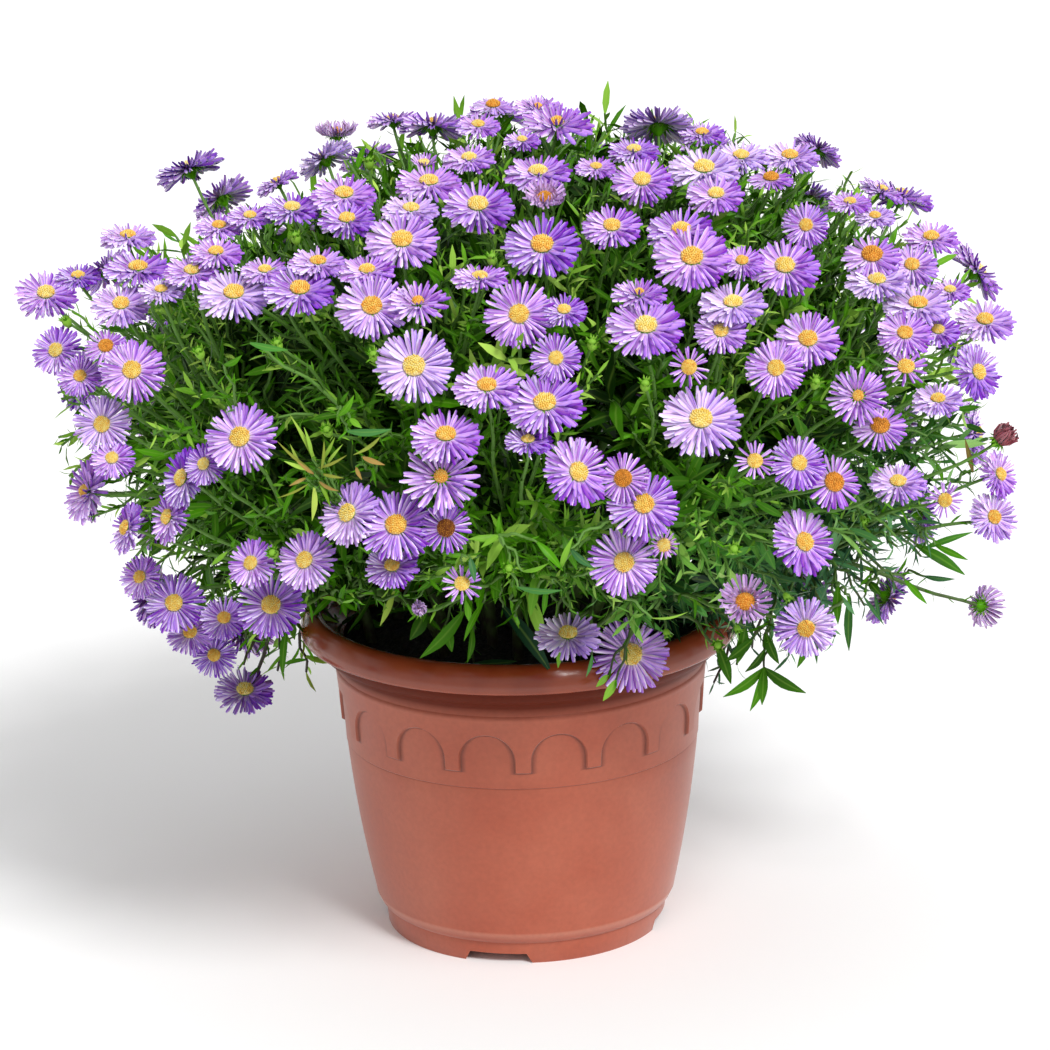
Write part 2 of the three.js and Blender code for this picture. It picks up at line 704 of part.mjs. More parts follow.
class Spray {
  constructor(number, centre) {
    this.number = String(number).padStart(2, "0");
    this.centre = centre;
    this.blooms = [];
  }

  get flowersName() {
    return `flowers_${this.number}`;
  }

  get stemName() {
    return `stem_${this.number}`;
  }

  // Root in the soil, fork under the surface and the curve between them
  settle(root) {
    this.root = root;
    const reach = this.centre.clone().sub(root);
    this.fork = root.clone().addScaledVector(reach, STEM.forkAt);
    const flat = Math.hypot(this.fork.x, this.fork.y);
    const inward = Math.min(1, STEM.widestFork / flat);
    this.fork.set(this.fork.x * inward, this.fork.y * inward, Math.max(this.fork.z + 8, STEM.lowestFork));
    const rise = new THREE.Vector3(root.x, root.y, root.z + (this.fork.z - root.z) * 0.8);
    this.curve = new THREE.QuadraticBezierCurve3(root, rise, this.fork);
    this.heading = this.curve.getTangent(1).normalize();
  }

  // Point on the fork's axis at a height over the stem's end
  onAxis(height) {
    return this.fork.clone().addScaledVector(this.heading, FORK.gap + height);
  }

  // Length of the fork's axis, with room for every stalk
  get axisLength() {
    return FORK.first + FORK.between * this.blooms.length;
  }

  // Stalks leave the axis one above the other, those that lean out most the lowest
  orderStalks() {
    const lean = (bloom) => bloom.centre.clone().sub(this.fork).angleTo(this.heading);
    this.blooms.sort((a, b) => lean(b) - lean(a));
    this.blooms.forEach((bloom, i) => {
      bloom.stalkRoot = this.onAxis(FORK.first + FORK.between * (i + 0.3));
    });
  }
}

// Blooms in groups of near neighbours: seeds far apart, then a few rounds of averaging
function gatherSprays(blooms) {
  const seeds = [blooms[0].centre.clone()];
  while (seeds.length < SPRAYS) {
    const gap = (bloom) => Math.min(...seeds.map((s) => s.distanceTo(bloom.centre)));
    const farthest = blooms.reduce((best, bloom) => (gap(bloom) > gap(best) ? bloom : best));
    seeds.push(farthest.centre.clone());
  }
  const sprays = seeds.map((seed, i) => new Spray(i + 1, seed));
  for (let round = 0; round < 8; round += 1) {
    for (const spray of sprays) spray.blooms = [];
    for (const bloom of blooms) nearestSpray(sprays, bloom.centre).blooms.push(bloom);
    for (const spray of sprays) {
      if (!spray.blooms.length) continue;
      spray.centre = new THREE.Vector3();
      for (const bloom of spray.blooms) spray.centre.addScaledVector(bloom.centre, 1 / spray.blooms.length);
    }
  }
  return sprays;
}

function nearestSpray(sprays, point) {
  return sprays.reduce((best, spray) =>
    (spray.centre.distanceTo(point) < best.centre.distanceTo(point) ? spray : best));
}

// Roots on the soil: each below its spray, drawn in to the middle and pushed apart from the others
function plantRoots(sprays) {
  const roots = sprays.map((spray) => {
    const flat = new THREE.Vector2(spray.centre.x, spray.centre.y);
    const lean = Math.atan2(flat.length(), spray.centre.z - SOIL.level) / (Math.PI / 2);
    return flat.setLength(ROOTS.radius * lean);
  });
  for (let round = 0; round < ROOTS.rounds; round += 1) {
    for (let i = 0; i < roots.length; i += 1) {
      for (let j = i + 1; j < roots.length; j += 1) {
        const gap = roots[i].clone().sub(roots[j]);
        const short = ROOTS.spacing - gap.length();
        if (short <= 0) continue;
        gap.normalize().multiplyScalar(short / 2);
        roots[i].add(gap);
        roots[j].sub(gap);
      }
      if (roots[i].length() > ROOTS.radius) roots[i].setLength(ROOTS.radius);
    }
  }
  const depth = SOIL.level - SOIL.holeDepth + 1;
  sprays.forEach((spray, i) => spray.settle(new THREE.Vector3(roots[i].x, roots[i].y, depth)));
}

// The axis that a cluster's stalks branch from, on the end of the stem
function axisSolid(spray) {
  const line = new THREE.LineCurve3(spray.onAxis(0), spray.onAxis(spray.axisLength));
  return tubeSolid(line, FORK.radius, FORK.sides, 1);
}

// Ways for a stalk to run from its head to the axis: straight, or with a neck behind the head
function stalkRoutes(bloom, centre) {
  const root = bloom.stalkRoot;
  const base = centre.clone().addScaledVector(bloom.normal, -BLOOM.depth);
  const back = bloom.normal.clone().negate();
  const toRoot = root.clone().sub(base).normalize();
  const routes = [];
  if (back.dot(toRoot) > 0.45) routes.push([base, root]);
  for (const neck of STALK.necks) {
    const bend = base.clone().addScaledVector(back, neck);
    routes.push([base, bend, root]);
    for (const sideways of squareTo(toRoot)) {
      for (const sway of STALK.sways) {
        const aside = bend.clone().addScaledVector(sideways, sway);
        routes.push([base, aside.addScaledVector(toRoot, STALK.swayAhead), root]);
      }
    }
  }
  return routes;
}

// Puts each bloom in its free place nearest to where it was seen
function placeBlooms(spray, space, heads) {
  for (const bloom of spray.blooms) {
    let done = false;
    for (const slide of SLIDES) {
      const centre = bloom.centre.clone().addScaledVector(bloom.slide, slide);
      for (const route of stalkRoutes(bloom, centre)) {
        const solid = solidOf(bloom.geometry(centre, route));
        const head = headSolid(bloom, centre);
        if (!heads.isFree(head, bloom) || !space.isFree(solid, spray.flowersName)) continue;
        if (!stalkClearsHeads(route, heads, bloom)) continue;
        bloom.placed = centre;
        heads.take(head, bloom);
        space.take(solid, spray.flowersName);
        spray.solids.push(solid);
        done = true;
        break;
      }
      if (done) break;
    }
  }
}

// The head alone, as a test body for its neighbours of the same cluster
function headSolid(bloom, centre) {
  const base = centre.clone().addScaledVector(bloom.normal, -BLOOM.depth);
  return solidOf(bloom.geometry(centre, [base, base.clone().addScaledVector(bloom.normal, -1)]));
}

// Whether a stalk passes clear of the other heads
function stalkClearsHeads(route, heads, bloom) {
  for (let i = 0; i + 1 < route.length; i += 1) {
    if (!heads.isFree(taperSolid(route[i + 1], route[i], STALK.radius + STALK.room), bloom)) return false;
  }
  return true;
}

// Leafy shoots

// A shoot with whorls of pointed leaves round its upper part, as one closed body
function shootSolid(from, to, spread, turn) {
  const along = to.clone().sub(from);
  const length = along.length();
  const heading = along.clone().normalize();
  const [side, over] = squareTo(heading);
  const place = (step, radius, height) => {
    const angle = turn + (step / (2 * SHOOT.leaves)) * 2 * Math.PI;
    return from.clone().addScaledVector(heading, height)
      .addScaledVector(side, radius * Math.cos(angle))
      .addScaledVector(over, radius * Math.sin(angle));
  };
  const neck = Math.max(SHOOT.leastNeck, spread * SHOOT.neckShare);
  const around = 2 * SHOOT.leaves;
  const points = [];
  for (let i = 0; i < around; i += 2) points.push(place(i, SHOOT.leastNeck, 0));
  const whorls = SHOOT.whorls.map((share, level) => {
    const first = points.length;
    for (let i = 0; i < around; i += 1) {
      const leaf = (i + level) % 2 === 1;
      const height = length * share;
      points.push(leaf ? place(i, spread, height + spread) : place(i, neck, height));
    }
    return first;
  });
  points.push(to.clone());
  const tip = points.length - 1;
  const faces = [[0, 2, 1]];
  for (let i = 0; i < around; i += 1) {
    const j = (i + 1) % around;
    const [low, lowNext] = [whorls[0] + i, whorls[0] + j];
    const ring = Math.floor(i / 2);
    const ringNext = (ring + 1) % SHOOT.leaves;
    if (i % 2 === 0) faces.push([ring, lowNext, low]);
    else faces.push([ring, ringNext, low], [ringNext, lowNext, low]);
    for (let level = 1; level < whorls.length; level += 1) {
      const [a, b] = [whorls[level - 1] + i, whorls[level - 1] + j];
      const [c, d] = [whorls[level] + i, whorls[level] + j];
      const necksFirst = (i + level) % 2 === 1;
      if (necksFirst) faces.push([a, b, d], [a, d, c]);
      else faces.push([a, b, c], [b, d, c]);
    }
    const last = whorls[whorls.length - 1];
    faces.push([last + i, last + j, tip]);
  }
  return solidOf(geometryOf(points, faces));
}

// An arched leaf in two stretches
function skirtLeafSolid(root, direction, length, droop) {
  const across = new THREE.Vector3().crossVectors(direction, UP).normalize();
  const top = new THREE.Vector3().crossVectors(across, direction).normalize();
  const waist = root.clone().addScaledVector(direction, length * SKIRT_LEAF.waist);
  const tip = root.clone().addScaledVector(direction, length).addScaledVector(UP, -droop);
  const ring = (centre, width) => [
    centre.clone().addScaledVector(across, width / 2),
    centre.clone().addScaledVector(across, -width / 2),
    centre.clone().addScaledVector(top, -SKIRT_LEAF.thickness),
  ];
  const points = [...ring(root, SKIRT_LEAF.rootWidth), ...ring(waist, SKIRT_LEAF.width), tip];
  const faces = [[0, 1, 2]];
  for (let i = 0; i < 3; i += 1) {
    const j = (i + 1) % 3;
    faces.push([i, 3 + j, j], [i, 3 + i, 3 + j], [3 + i, 6, 3 + j]);
  }
  return solidOf(geometryOf(points, faces));
}

// Grows shoots to the free patches of the crown and then of the skirt, each from the stem below it.
// Past its root a shoot keeps clear of the others too.
function growShoots(sprays, blooms, space) {
  const tips = [];
  for (const point of [...crownPoints(SHOOT.crownTries), ...domePoints(SHOOT.skirtTries, 0)]) {
    const free = blooms.every((b) => !b.placed || b.placed.distanceTo(point) > SHOOT.fromBloom);
    if (!free || tips.some((t) => t.distanceTo(point) < SHOOT.spacing)) continue;
    const spray = nearestSpray(sprays, point);
    const target = spray.root.clone().lerp(point, SHOOT.reach + between(-0.03, 0.02));
    const turn = between(0, Math.PI);
    const shoot = freeShoot(spray, target, turn, space);
    if (!shoot) continue;
    space.take(shoot, spray.stemName);
    spray.green.push(shoot);
    tips.push(point);
  }
}

// The widest shoot that has room on its way to a point, from a place on the stem that is still
// bare, or null
function freeShoot(spray, target, turn, space) {
  for (const spread of SHOOT.spreads) {
    for (let place = 0; place < SHOOT.starts; place += 1) {
      if (spray.usedStarts.has(place)) continue;
      const start = spray.curve.getPoint(SHOOT.firstStart - SHOOT.startStep * place);
      const shoot = shootSolid(start, target, spread, turn);
      const upper = shootSolid(start.clone().lerp(target, SHOOT.rootShare), target, spread, turn);
      if (space.isFree(shoot, spray.stemName) && space.isFree(upper, null)) {
        spray.usedStarts.add(place);
        return shoot;
      }
    }
  }
  return null;
}

// Long arching leaves low on the outer stems, over the mouth of the pot
function growSkirtLeaves(spray, space) {
  if (Math.hypot(spray.fork.x, spray.fork.y) < SKIRT_LEAF.outwardFrom) return;
  const outward = Math.atan2(spray.fork.y, spray.fork.x);
  for (let i = 0; i < SKIRT_LEAF.perStem; i += 1) {
    const root = spray.curve.getPoint(SKIRT_LEAF.firstRoot + SKIRT_LEAF.rootStep * i);
    for (let attempt = 0; attempt < SKIRT_LEAF.tries; attempt += 1) {
      const turn = SKIRT_LEAF.firstTurn + SKIRT_LEAF.turnStep * attempt;
      const angle = outward + (i % 2 ? turn : -turn);
      const direction = new THREE.Vector3(Math.cos(angle), Math.sin(angle), between(0.1, 0.6)).normalize();
      const length = SKIRT_LEAF.length * between(0.85, 1.1);
      const leaf = skirtLeafSolid(root, direction, length, between(6, 14));
      if (!space.isFree(leaf, spray.stemName)) continue;
      space.take(leaf, spray.stemName);
      spray.green.push(leaf);
      break;
    }
  }
}

// Whether a solid, once its close corners are welded, is one body whose edges have two faces each
function isSound(solid) {
  const welded = mergeVertices(geometryOfSolid(solid), WELD);
  const index = welded.index.array;
  const faces = new Map();
  for (let i = 0; i < index.length; i += 3) {
    const corners = [index[i], index[i + 1], index[i + 2]];
    if (new Set(corners).size < 3) continue;
    for (let k = 0; k < 3; k += 1) {
      const [a, b] = [corners[k], corners[(k + 1) % 3]];
      const edge = a < b ? `${a} ${b}` : `${b} ${a}`;
      faces.set(edge, (faces.get(edge) ?? 0) + 1);
    }
  }
  return [...faces.values()].every((count) => count === 2) && solidOf(welded).decompose().length === 1;
}

// All solids of a list as one. A piece whose join would pinch an edge moves a little first.
function joined(solids) {
  return solids.reduce((whole, solid) => {
    for (const nudge of NUDGES) {
      const sum = whole.add(solid.translate(nudge));
      if (isSound(sum)) return sum;
    }
    return whole;
  });
}

// Assembly

const material = (colour, roughness) =>
  new THREE.MeshStandardMaterial({ color: colour, roughness, metalness: 0 });
const MATERIALS = {
  pot: material(COLOURS.pot, 0.5),
  soil: material(COLOURS.soil, 1),
  stem: material(COLOURS.green, 0.7),
  flowers: material(COLOURS.violet, 0.8),
};

function meshOf(name, solid, finish) {
  const mesh = new THREE.Mesh(geometryOfSolid(solid), finish);
  mesh.name = name;
  return mesh;
}

// The sprays with their blooms, roots and forks, before anything has a shape
function planPlant(view) {
  const seen = seenBlooms(view);
  const sprays = gatherSprays([...seen, ...hiddenBlooms(view, seen)]);
  plantRoots(sprays);
  return sprays;
}

// Grows each spray in turn: stem and axis, heads, buds, and then leaves in what room is left
function growPlant(view, sprays, space) {
  const heads = new Space();
  for (const spray of sprays) {
    const stem = tubeSolid(spray.curve, STEM.radius, STEM.sides, STEM.steps);
    const axis = axisSolid(spray);
    spray.orderStalks();
    spray.green = [stem];
    spray.usedStarts = new Set();
    spray.solids = [axis];
    space.take(stem, spray.stemName);
    space.take(axis, spray.flowersName);
  }
  for (const spray of sprays) placeBlooms(spray, space, heads);
  for (const [x, y] of SEEN_BUDS) {
    const centre = meetDome(view.sightLine(x, y));
    const spray = nearestSpray(sprays, centre);
    const bud = budSolid(centre, domeNormal(centre).add(UP).normalize(), spray.onAxis(spray.axisLength - 1));
    if (!space.isFree(bud, spray.flowersName)) continue;
    space.take(bud, spray.flowersName);
    spray.solids.push(bud);
  }
  for (const spray of sprays) growSkirtLeaves(spray, space);
  growShoots(sprays, sprays.flatMap((spray) => spray.blooms), space);
}

const view = new Viewpoint();
const sprays = planPlant(view);
const pot = makePot();
const soil = makeSoil(sprays.map((spray) => spray.curve));
const space = new Space();
space.take(pot, "pot");
space.take(soil, "soil");
growPlant(view, sprays, space);

const plantInPot = new THREE.Group();
plantInPot.add(meshOf("pot", pot, MATERIALS.pot));
plantInPot.add(meshOf("soil", soil, MATERIALS.soil));
for (const spray of sprays) {
  plantInPot.add(meshOf(spray.stemName, joined(spray.green), MATERIALS.stem));
  plantInPot.add(meshOf(spray.flowersName, joined(spray.solids), MATERIALS.flowers));
}

export default plantInPot;
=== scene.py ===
"""Potted cushion aster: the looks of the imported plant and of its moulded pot, in metres."""

from __future__ import annotations

import logging
import math
from dataclasses import dataclass
from enum import Enum
from typing import Sequence

import bmesh
import bpy
import numpy as np
from bpy.types import Material, Mesh, Node, NodeSocket, NodeTree, Object
from mathutils import Matrix, Quaternion, Vector


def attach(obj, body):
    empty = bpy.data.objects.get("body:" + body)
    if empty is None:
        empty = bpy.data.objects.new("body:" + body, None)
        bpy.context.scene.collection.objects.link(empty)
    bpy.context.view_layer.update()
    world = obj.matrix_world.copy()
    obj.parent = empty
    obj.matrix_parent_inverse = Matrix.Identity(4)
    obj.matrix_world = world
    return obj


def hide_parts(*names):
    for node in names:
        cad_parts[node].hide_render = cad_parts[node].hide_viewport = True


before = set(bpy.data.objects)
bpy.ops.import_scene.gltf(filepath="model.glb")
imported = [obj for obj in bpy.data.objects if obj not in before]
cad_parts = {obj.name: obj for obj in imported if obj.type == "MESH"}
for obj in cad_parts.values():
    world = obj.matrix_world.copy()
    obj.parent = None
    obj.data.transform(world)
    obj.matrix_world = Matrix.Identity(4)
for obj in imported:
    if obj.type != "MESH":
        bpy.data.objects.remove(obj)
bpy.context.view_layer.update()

log = logging.getLogger("aster")
MM = 0.001
Pairs = Sequence[tuple[float, float]]
Triples = Sequence[tuple[float, float, float]]
GOLDEN_ANGLE = math.pi * (3 - math.sqrt(5))


# Helpers


def linear(hex_colour: str) -> tuple[float, float, float, float]:
    """Turns an sRGB hex colour to linear RGBA.

    Args:
        hex_colour: Colour such as "#b5634b".

    Returns:
        Linear red, green, blue and an alpha of 1.
    """
    channels = [int(hex_colour[i : i + 2], 16) / 255 for i in (1, 3, 5)]
    red, green, blue = (c / 12.92 if c <= 0.04045 else ((c + 0.055) / 1.055) ** 2.4 for c in channels)
    return red, green, blue, 1.0


def mesh_object(name: str, mesh: Mesh) -> Object:
    """Links a mesh to the scene as an object at the origin.

    Args:
        name: Object and mesh name.
        mesh: Its mesh.

    Returns:
        The new object.
    """
    mesh.name = name
    obj = bpy.data.objects.new(name, mesh)
    bpy.context.scene.collection.objects.link(obj)
    return obj


def mesh_from(
    name: str, points: np.ndarray, faces: Sequence[Sequence[int]], edges: Sequence[Sequence[int]] = ()
) -> Mesh:
    """Makes a mesh from its corners.

    Args:
        name: Mesh name.
        points: Corner points in metres.
        faces: Corner numbers of each face.
        edges: Corner numbers of each loose edge.

    Returns:
        The new mesh, smooth shaded.
    """
    mesh = bpy.data.meshes.new(name)
    mesh.from_pydata([tuple(p) for p in points], list(edges), [tuple(f) for f in faces])
    mesh.shade_smooth()
    return mesh


def closed_mesh(name: str, points: np.ndarray, faces: Sequence[Sequence[int]]) -> Mesh:
    """Makes the mesh of a closed body, with its faces turned outward.

    Args:
        name: Mesh name.
        points: Corner points in metres.
        faces: Corner numbers of each face, in either sense.

    Returns:
        The new mesh.
    """
    mesh = mesh_from(name, points, faces)
    body = bmesh.new()
    body.from_mesh(mesh)
    bmesh.ops.recalc_face_normals(body, faces=body.faces)
    body.to_mesh(mesh)
    body.free()
    return mesh


def evaluated_mesh(obj: Object) -> Mesh:
    """Returns a plain copy of an object's mesh with its modifiers applied."""
    bpy.context.view_layer.update()
    return bpy.data.meshes.new_from_object(obj.evaluated_get(bpy.context.evaluated_depsgraph_get()))


def write(mesh: Mesh, **columns: float | Sequence) -> None:
    """Writes named attributes of a mesh's points.

    Args:
        mesh: Mesh that gets them.
        columns: One number for all points, or a number or a vector for each of them.
    """
    for name, values in columns.items():
        numbers = np.asarray(values, np.float32)
        if not numbers.ndim:
            numbers = np.full(len(mesh.vertices), numbers)
        kind, field = ("FLOAT_VECTOR", "vector") if numbers.ndim > 1 else ("FLOAT", "value")
        mesh.attributes.new(name, kind, "POINT").data.foreach_set(field, numbers.ravel())


def turned_mesh(name: str, rings: Pairs, sides: int, tip: float, finish: Material, **numbers: float) -> Mesh:
    """Makes a closed turned body: a flat first ring, bands and a fan to a tip on the axis.

    Args:
        name: Mesh name.
        rings: Radius and height of each ring.
        sides: Corners of each ring.
        tip: Height of the tip.
        finish: Material of the body.
        numbers: Attributes that have the same number at each point.

    Returns:
        The new mesh.
    """
    turns = [2 * math.pi * k / sides for k in range(sides)]
    points = [(radius * math.cos(a), radius * math.sin(a), z) for radius, z in rings for a in turns]
    last = len(points) - sides
    faces: list[tuple[int, ...]] = [tuple(range(sides))]
    for ring in range(0, last, sides):
        for k in range(sides):
            a, b = ring + k, ring + (k + 1) % sides
            faces.append((a, a + sides, b + sides, b))
    faces += [(last + k, len(points), last + (k + 1) % sides) for k in range(sides)]
    points.append((0.0, 0.0, tip))
    mesh = closed_mesh(name, np.array(points), faces)
    mesh.materials.append(finish)
    write(mesh, **numbers)
    return mesh


def settle(obj: Object, slot: str, *nodes: str) -> Object:
    """Rides a finished piece on the plant's one body and hides the CAD nodes that it replaces.

    Args:
        obj: Finished piece.
        slot: Name of a material slot; not used.
        nodes: CAD nodes that the piece replaces.

    Returns:
        The same piece.
    """
    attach(obj, "root")
    if nodes:
        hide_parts(*nodes)
    log.info("%s: %d faces", obj.name, len(obj.data.polygons))
    return obj


# Node trees


class Graph:
    """A node tree in the making."""

    def __init__(self, tree: NodeTree) -> None:
        """Takes the tree that gets the nodes."""
        self.tree = tree

    def feed(self, node: Node, inputs: dict | Sequence) -> None:
        """Sets inputs of a node.

        Args:
            node: Node to set.
            inputs: Values, sockets and lists of sockets, by input name or in the order of the inputs.
        """
        for key, value in inputs.items() if isinstance(inputs, dict) else enumerate(inputs):
            for item in value if isinstance(value, list) else [value]:
                if isinstance(item, NodeSocket):
                    self.tree.links.new(item, node.inputs[key])
                else:
                    node.inputs[key].default_value = item

    def add(
        self, kind: str, inputs: dict | Sequence = (), out: int | str = 0,
        stops: Sequence[tuple[float, str]] = (), **settings: object
    ) -> NodeSocket:
        """Adds a node with its settings and its links.

        Args:
            kind: Blender's name of the node type.
            inputs: Values and sockets, by input name or in the order of the inputs.
            out: Name or number of the wanted output.
            stops: Place and hex colour of each stop, for a node that has them.
            settings: Properties of the node.

        Returns:
            The wanted output.
        """
        node = self.tree.nodes.new(kind)
        for name, value in settings.items():
            setattr(node, name, value)
        self.feed(node, inputs)
        for number, (place, colour) in enumerate(stops):
            row = node.color_ramp.elements
            stop = row[number] if number < len(row) else row.new(place)
            stop.position, stop.color = place, linear(colour)
        return node.outputs[out]


class Coat(Graph):
    """A material in the making."""

    def __init__(self, name: str) -> None:
        """Starts a material with its shader."""
        self.material = bpy.data.materials.new(name)
        self.material.use_nodes = True
        super().__init__(self.material.node_tree)

    def done(self, inputs: dict) -> Material:
        """Sets the shader's inputs and returns the material."""
        self.feed(self.tree.nodes["Principled BSDF"], inputs)
        return self.material


class Recipe(Graph):
    """A Geometry Nodes tree with named inputs, applied once to a carrier mesh."""

    def __init__(self, name: str) -> None:
        """Starts an empty tree with a geometry input and output."""
        super().__init__(bpy.data.node_groups.new(name, "GeometryNodeTree"))
        self.sockets: dict[str, str] = {}
        for way in ("INPUT", "OUTPUT"):
            self.tree.interface.new_socket("Geometry", in_out=way, socket_type="NodeSocketGeometry")
        self.entry = self.tree.nodes.new("NodeGroupInput")

    def ask(self, **kinds: str) -> list[NodeSocket]:
        """Adds named inputs to the tree.

        Args:
            kinds: Input name, with underscores for blanks, to its socket type without NodeSocket.

        Returns:
            The sockets that carry the inputs, in the same order.
        """
        for key, kind in kinds.items():
            item = self.tree.interface.new_socket(
                key.replace("_", " "), in_out="INPUT", socket_type="NodeSocket" + kind)
            self.sockets[key] = item.identifier
        return [self.entry.outputs[key.replace("_", " ")] for key in kinds]

    def chances(self, seed: NodeSocket, limits: Triples) -> list[NodeSocket]:
        """Draws independent random numbers for each point.

        Args:
            seed: Seed socket.
            limits: For each number its lowest and highest value, and what is added to the seed.

        Returns:
            The sockets of the random numbers.
        """
        drawn = []
        for low, high, salt in limits:
            own = self.add("ShaderNodeMath", (seed, salt), operation="ADD")
            drawn.append(self.add(
                "FunctionNodeRandomValue", {2: low, 3: high, "Seed": own}, 1, data_type="FLOAT"))
        return drawn

    def close(self, geometry: NodeSocket, **numbers: NodeSocket) -> None:
        """Ends the tree with Realize Instances and Set Material.

        Args:
            geometry: Geometry or instances to end with.
            numbers: Numbers that each instance keeps as attributes.
        """
        for name, value in numbers.items():
            geometry = self.add(
                "GeometryNodeStoreNamedAttribute", {"Geometry": geometry, "Name": name, "Value": value},
                data_type="FLOAT", domain="INSTANCE")
        whole = self.add("GeometryNodeRealizeInstances", (geometry,))
        (finish,) = self.ask(Finish="Material")
        dressed = self.add("GeometryNodeSetMaterial", {"Geometry": whole, "Material": finish})
        self.feed(self.tree.nodes.new("NodeGroupOutput"), (dressed,))

    def bake(self, name: str, carrier: Mesh, finish: Material, **values: object) -> Mesh:
        """Runs the tree on a carrier mesh.

        Args:
            name: Name of the result.
            carrier: Mesh that enters the tree.
            finish: Material of the result.
            values: Named inputs, with underscores for blanks.

        Returns:
            The result as a plain mesh.
        """
        obj = mesh_object(name + "_carrier", carrier)
        modifier = obj.modifiers.new("recipe", "NODES")
        modifier.node_group = self.tree
        for key, value in {**values, "Finish": finish}.items():
            modifier[self.sockets[key]] = value
        mesh = evaluated_mesh(obj)
        bpy.data.objects.remove(obj)
        mesh.name = name
        mesh.shade_smooth()
        return mesh


def joined(name: str, meshes: Sequence[Mesh]) -> Mesh:
    """Joins meshes, with their attributes and finishes.

    Args:
        name: Name of the result.
        meshes: Meshes to join.

    Returns:
        The joined mesh.
    """
    graph = Graph(bpy.data.node_groups.new(name, "GeometryNodeTree"))
    graph.tree.interface.new_socket("Geometry", in_out="OUTPUT", socket_type="NodeSocketGeometry")
    objects = [mesh_object(f"{name}_{k}", mesh) for k, mesh in enumerate(meshes)]
    parts = [graph.add("GeometryNodeObjectInfo", {"Object": obj}, "Geometry") for obj in reversed(objects)]
    whole = graph.add("GeometryNodeJoinGeometry", [parts])
    graph.feed(graph.tree.nodes.new("NodeGroupOutput"), (whole,))
    carrier = mesh_object(name + "_join", mesh_from(name, np.zeros((1, 3)), []))
    carrier.modifiers.new("join", "NODES").node_group = graph.tree
    result = evaluated_mesh(carrier)
    for obj in (*objects, carrier):
        bpy.data.objects.remove(obj)
    bpy.data.node_groups.remove(graph.tree)
    result.name = name
    return result


# Finishes


@dataclass(frozen=True)
class TerracottaPolypropylene:
    """Injection-moulded polypropylene: a soft satin skin with faint flow clouds and dust, and painted shade
    in the cove and in the creases of the arcade.
    """

    body: str = "#a34c32"
    dusty: str = "#ad5c43"
    # Painted shade: the darker colour of the cove under the rim
    cove_shade: str = "#5c2110"
    # Painted shade in the steps and corners of the arcade, the groove and the foot
    grime: str = "#6a3021"
    # A paler colour for a thin line along the shoulder
    pale_tone: str = "#d29a83"
    ior: float = 1.49
    roughness: tuple[float, float] = (0.41, 0.52)
    specular: tuple[float, float] = (0.5, 0.1)
    sheen: tuple[float, float] = (0.22, 0.0)
    sheen_roughness: float = 0.45
    cloud_mm: float = 34.0
    speckle_mm: float = 2.2
    speckle_value: tuple[float, float] = (0.94, 1.06)
    grain_mm: float = 0.7
    grain_depth_mm: float = 0.1
    grain_strength: float = 0.12
    cove_from: float = 122.0
    cove_full: float = 129.0

    def build(self) -> Material:
        """Builds the satin pot wall and returns its material."""
        coat = Coat("terracotta_polypropylene")
        add = coat.add
        place = add("ShaderNodeTexCoord", out="Object")
        # Melt flow leaves clouds a few centimetres wide, and dust dots the skin. The etched mould
        # gives a grain that breaks up the highlight, drawn coarser than it is so that it shows
        cloud, speckle, grain = (
            add("ShaderNodeTexNoise", {"Vector": place, "Scale": 1 / (size * MM), "Detail": detail})
            for size, detail in ((self.cloud_mm, 4.0), (self.speckle_mm, 3.0), (self.grain_mm, 2.0)))
        wall = add("ShaderNodeValToRGB", (cloud,), stops=((0.3, self.body), (0.8, self.dusty)))
        # The cove under the rim is painted darker and duller, a painted shade under the rim's overhang
        height = add("ShaderNodeSeparateXYZ", (place,), "Z")
        limits = (self.cove_from * MM, self.cove_full * MM)
        cove_shade_mask = add("ShaderNodeMapRange", (height, *limits, 0.0, 1.0))
        # Painted shade darkens the steps and corners of the arcade, the fine groove and the foot, and a pale
        # line runs along the shoulder
        crease_shaded, shoulder_lined = (
            add("ShaderNodeAttribute", out="Fac", attribute_name=name) for name in ("grime", "wear"))
        for share, over in ((cove_shade_mask, self.cove_shade), (crease_shaded, self.grime), (shoulder_lined, self.pale_tone)):
            wall = add(
                "ShaderNodeMix", {"Factor": share, "A": wall, "B": linear(over)}, 2, data_type="RGBA")
        dotted = add("ShaderNodeMapRange", (speckle, 0.3, 0.7, *self.speckle_value))
        specular, sheen = (
            add("ShaderNodeMapRange", (cove_shade_mask, 0.0, 1.0, *limits))
            for limits in (self.specular, self.sheen))
        return coat.done({
            "Base Color": add("ShaderNodeHueSaturation", {"Value": dotted, "Color": wall}),
            "Roughness": add("ShaderNodeMapRange", (cloud, 0.3, 0.8, *self.roughness)),
            "Normal": add("ShaderNodeBump", {
                "Height": grain, "Strength": self.grain_strength, "Distance": self.grain_depth_mm * MM}),
            "Specular IOR Level": specular,
            "Sheen Weight": sheen,
            "Sheen Roughness": self.sheen_roughness,
            "IOR": self.ior,
        })


